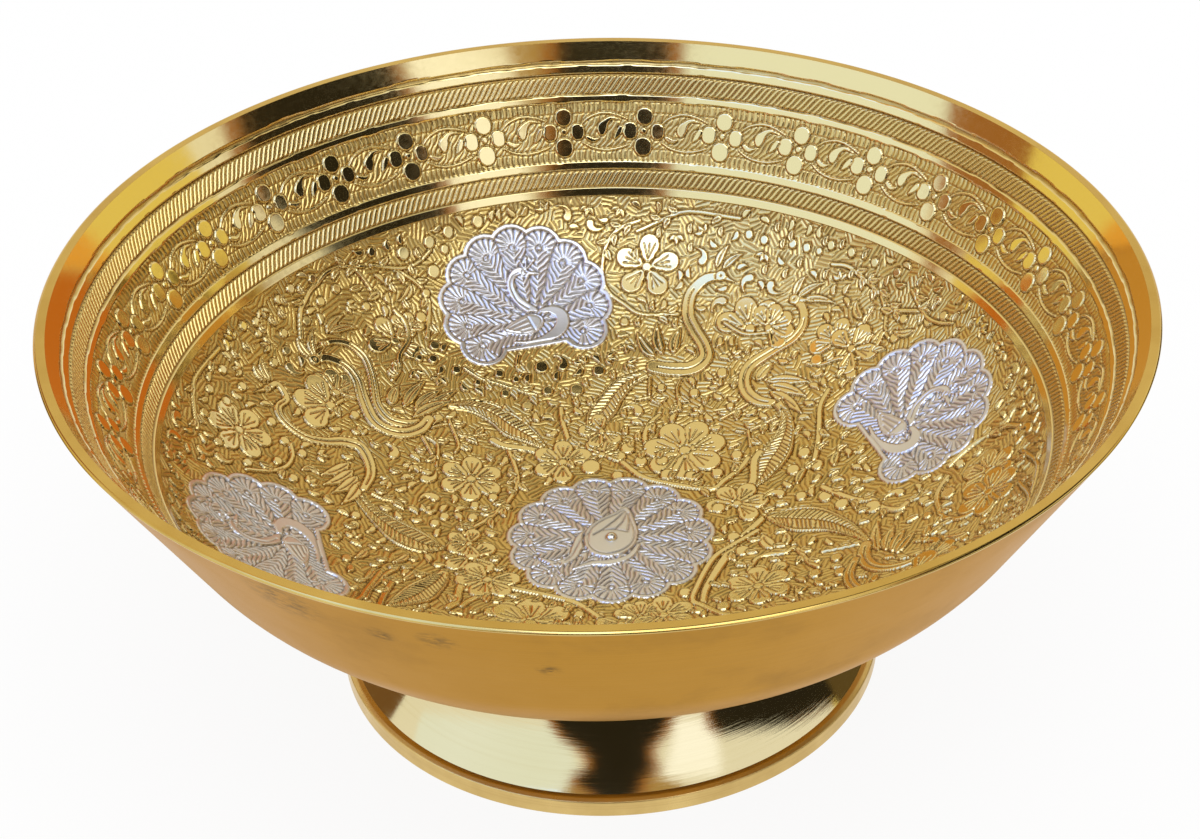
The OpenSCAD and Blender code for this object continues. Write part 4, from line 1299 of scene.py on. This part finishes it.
# The deck is a dish under the bowl's curved underside.
deck = outer - np.stack([outer_way[:, 1], -outer_way[:, 0]], 1) * DECK_T
deck_at = np.interp(flare_in[:, 0], deck[::-1, 0], deck[::-1, 1])
inner_foot = FOOT_R - FOOT_T
wall_part = [p for p, top in zip(flare_in, deck_at) if p[0] < inner_foot - 0.3 and p[1] < top - 0.05]
deck_part = [p for p in deck if p[0] < wall_part[-1][0] - 0.05]
edge_line = rounded([(inner_foot, 0), (FOOT_R, 0), (FOOT_R, FOOT_EDGE_H),
                     (FOOT_R - FOOT_STEP_W / 2, FOOT_EDGE_H + FOOT_STEP_H), flare_a], [0, 0.3, 0.25, 0.2, 0])
dress(lathe("foot_edge", edge_line), EDGE, "polished_brass", "foot")
dress(lathe("foot_flare", flare, 480), MIRROR, "polished_brass", "foot")
hollow = [(inner_foot, 0), *wall_part, *deck_part, (HOLE_R, SEAT_H - DECK_T)]
dress(lathe("foot_hollow", hollow, flip=True), EDGE, "polished_brass", "foot")

for name in ("rivet", "rivet_washer"):
    coat(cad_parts[name], RIVET)


# Camera, floor and lights.

# The view: turned by these angles in degrees, from a distance to AIM in metres, along an axis that meets
# a picture of this many pixels at AXIS_AT.
ELEVATION, YAW, ROLL = 31.38, -4.58, -1.16
AIM, DISTANCE = np.array([0, 0, 0.08196]), 0.4895
PICTURE_W, PICTURE_H, AXIS_AT = 1200, 839, (819.6, 277.9)
# Height, in metres, of the point that the cards and the lamp stand round.
CARDS_Z = 0.05
# Radius and height, in metres, of the upper and lower edge of the cards inside the wall.
WALL_CARD_EDGES = ((0.0962, 0.0808), (0.0745, 0.0445))


def set_camera():
    """Slightly from above, with the bowl moved into the picture by the lens shift."""
    elevation, yaw, roll = (math.radians(a) for a in (ELEVATION, YAW, ROLL))
    forward = np.array([0, math.cos(elevation), -math.sin(elevation)])
    right = np.array([1.0, 0, 0])
    up = np.cross(right, forward)
    look = forward * math.cos(yaw) - right * math.sin(yaw)
    side = right * math.cos(yaw) + forward * math.sin(yaw)
    x = side * math.cos(roll) + up * math.sin(roll)
    y = -side * math.sin(roll) + up * math.cos(roll)
    data = bpy.data.cameras.new("camera")
    data.lens, data.sensor_width = 80, 36
    data.shift_x = (PICTURE_W / 2 - AXIS_AT[0]) / PICTURE_W
    data.shift_y = (AXIS_AT[1] - PICTURE_H / 2) / PICTURE_W
    data.clip_start, data.clip_end = 0.01, 20
    camera = bpy.data.objects.new("camera", data)
    rows = zip(x, y, -look, AIM - forward * DISTANCE)
    camera.matrix_world = Matrix([*rows, (0, 0, 0, 1)])
    bpy.context.scene.collection.objects.link(camera)
    bpy.context.scene.camera = camera


def seen_rays(tree):
    """1 for what the camera sees, directly or in metal and glass."""
    path = tree.nodes.new("ShaderNodeLightPath").outputs
    seen = tree.math("MAXIMUM", path["Is Camera Ray"], path["Is Glossy Ray"])
    return tree.math("MAXIMUM", seen, path["Is Transmission Ray"])


def set_floor():
    """Pale floor, nearly white to the eye and in the metal, that keeps a faint shadow of the bowl."""
    tree = new_tree("pale floor")
    shader = tree.nodes["Principled BSDF"]
    shader.inputs["Roughness"].default_value = 0.9
    shader.inputs["Specular IOR Level"].default_value = 0.1
    colour = tree.mix(tree.noise(6, 2), (0.93, 0.93, 0.93, 1), (0.95, 0.95, 0.95, 1))
    tree.links.new(colour, shader.inputs["Base Color"])
    white = tree.add("ShaderNodeEmission", Color=(1, 1, 1, 1), Strength=1.0)
    tree.mix_shader(tree.ramp(seen_rays(tree), 0, 1, 0, 0.9), shader.outputs[0], white.outputs[0])
    # A hair under the foot, so that the two never share a plane.
    bpy.ops.mesh.primitive_plane_add(size=1, location=(0, 0, -0.0002))
    floor = bpy.context.object
    floor.name = "floor"
    floor.scale = (8, 8, 1)
    floor.data.materials.append(tree.holder)


def set_world():
    """White for the camera and in the metal; a little softer as light on the floor."""
    world = bpy.data.worlds.new("studio")
    bpy.context.scene.world = world
    tree = Tree(world)
    tree.feed(tree.nodes["Background"].inputs, ((1, 1, 1, 1), tree.ramp(seen_rays(tree), 0, 1, 0.95, 1.0)))


def set_softbox():
    data = bpy.data.lights.new("softbox", "AREA")
    data.shape, data.size, data.size_y, data.energy = "RECTANGLE", 0.7, 0.6, 2.6
    data.color = (0.95, 1.0, 1.04)
    lamp = bpy.data.objects.new("softbox", data)
    lamp.location = (0.13, -0.50, 1.02)
    lamp.rotation_euler = (lamp.location - Vector((0, 0, CARDS_Z))).to_track_quat("Z", "Y").to_euler()
    bpy.context.scene.collection.objects.link(lamp)


def glow(name, colour, one_sided):
    """Plain light of one colour; a one-sided card is clear from behind."""
    tree = new_tree(name)
    light = tree.add("ShaderNodeEmission", Color=(*colour, 1), Strength=1.0).outputs[0]
    if one_sided:
        behind = tree.nodes.new("ShaderNodeNewGeometry").outputs["Backfacing"]
        tree.mix_shader(behind, light, tree.nodes.new("ShaderNodeBsdfTransparent").outputs[0])
    else:
        tree.links.new(light, tree.nodes["Material Output"].inputs[0])
    return tree.holder


def arc(radius, z, first, last, count):
    """Points of a level arc round the axis, between two bearings in degrees."""
    bearings = np.radians(np.linspace(first, last, count))
    return [(radius * math.cos(b), radius * math.sin(b), z) for b in bearings]


def add_card(name, arcs, colour, one_sided=False):
    """A glowing card between arcs of points, seen only in the metal."""
    n = len(arcs[0])
    quads = [(n * j + i, n * j + i + 1, n * j + i + 1 + n, n * j + i + n)
             for j in range(len(arcs) - 1) for i in range(n - 1)]
    mesh = bpy.data.meshes.new(name)
    mesh.from_pydata([point for points in arcs for point in points], [], quads)
    mesh.materials.append(glow(name, colour, one_sided))
    card = bpy.data.objects.new(name, mesh)
    bpy.context.scene.collection.objects.link(card)
    card.visible_camera = card.visible_diffuse = card.visible_shadow = False


def room_card(name, rows, colour, far=2.0):
    """A card round the bowl. Rows: elevation, first and last bearing, in degrees."""
    arcs = [arc(far * math.cos(math.radians(e)), far * math.sin(math.radians(e)) + CARDS_Z, first, last, 9)
            for e, first, last in rows]
    add_card(name, arcs, colour)


def wall_card(name, first, last, colour):
    """Stands in, just inside the wall, for the light that the wall takes from its own other side."""
    arcs = [arc(radius, z, first, last, 17) for radius, z in WALL_CARD_EDGES]
    add_card(name, arcs, colour, one_sided=True)


def fringed_card(name, rows, by, far=2.0, fringe_far=2.05):
    """A black card before a brown one that reaches so many degrees further at each end."""
    room_card(name, rows, BLACK, far)
    room_card(f"{name} fringe", [(e, first - by, last + by) for e, first, last in rows], BROWN, fringe_far)


set_camera()
set_floor()
set_world()
set_softbox()
# The room round the bowl, as far as the metal shows it.
BLACK, OLIVE = (0.025, 0.02, 0.012), (0.12, 0.08, 0.03)
BROWN, UMBER = (0.40, 0.17, 0.05), (0.20, 0.10, 0.035)
ORANGE, YELLOW, TAN = (0.92, 0.46, 0.08), (0.92, 0.76, 0.24), (0.50, 0.33, 0.13)
WALL_TONE, GLARE = (0.90, 0.80, 0.58), (1.30, 1.36, 1.60)
WINDOW, WINDOW_LOW, WINDOW_HIGH = (1.06, 1.46, 2.9), (1.0, 1.12, 1.30), (1.12, 1.20, 1.35)
BACK_RIGHT, BACK_LEFT = (0.62, 0.31, 0.06), (0.60, 0.18, 0.025)
wall_card("back right", -35, 78, BACK_RIGHT)
wall_card("back left", 102, 215, BACK_LEFT)
fringed_card("middle", [(-6, -120, -60), (10, -117, -66), (17, -112, -70), (23, -103, -76), (28, -99, -76),
                        (31, -102, -73), (33, -105, -75), (35, -107, -78), (38, -106, -80), (41, -100, -80),
                        (47, -95, -86)], 3.5)
room_card("middle foot", [(35, -106, -70), (39, -112, -62), (43, -115, -58), (48, -108, -70)], TAN, 2.08)
fringed_card("side", [(-4, -47, 20), (8, -47, 20), (14, -47, 13), (17, -46, 0), (20, -42, -14)], 3.0)
fringed_card("high", [(27, -41, 10), (34, -41, 10), (41, -37, 9), (48, -27, 7)], 4.0, 0.28, 0.285)
room_card("ceiling", [(36, 14, 34), (45, 12, 36), (52, 16, 44), (60, 22, 66), (66, 24, 84), (71, 24, 104),
                      (77, 20, 150), (81, 20, 150)], BLACK)
room_card("right end", [(-4, 8, 40), (13, 8, 36)], OLIVE, 0.45)
room_card("left end", [(-4, 146, 176), (12, 150, 173)], UMBER, 0.45)
room_card("brown cloth", [(20, 147, 165), (28, 147, 168), (34, 149, 170), (42, 152, 171)], BROWN, 0.25)
room_card("orange patch", [(54, 138, 152), (64, 136, 152)], ORANGE)
room_card("orange left", [(-8, 104, 156), (5, 116, 154)], ORANGE)
room_card("yellow left", [(-2, 120, 166), (14, 140, 168), (20, 152, 166)], YELLOW, 2.1)
room_card("orange right", [(-8, 28, 78), (6, 27, 72)], ORANGE)
room_card("yellow right", [(-4, 8, 52), (14, 8, 40), (20, 10, 24)], YELLOW, 2.1)
room_card("glare", [(12, -63, -47), (24, -66, -45), (36, -70, -44)], GLARE, 2.2)
room_card("window", [(41, -178, -112), (50, -178, -88), (64, -178, -84), (76, -178, -96)], WINDOW, 2.2)
room_card("window low", [(12, -178, -113), (30, -178, -106), (41, -178, -100)], WINDOW_LOW, 2.2)
room_card("window high", [(54, -84, -44), (66, -84, -20), (79, -96, 10)], WINDOW_HIGH, 2.2)
room_card("far wall", [(24, 10, 180), (34, -10, 182), (50, -20, 182), (70, -10, 182), (84, 20, 160)],
          WALL_TONE, 2.3)

bpy.context.scene.view_settings.view_transform = "Standard"
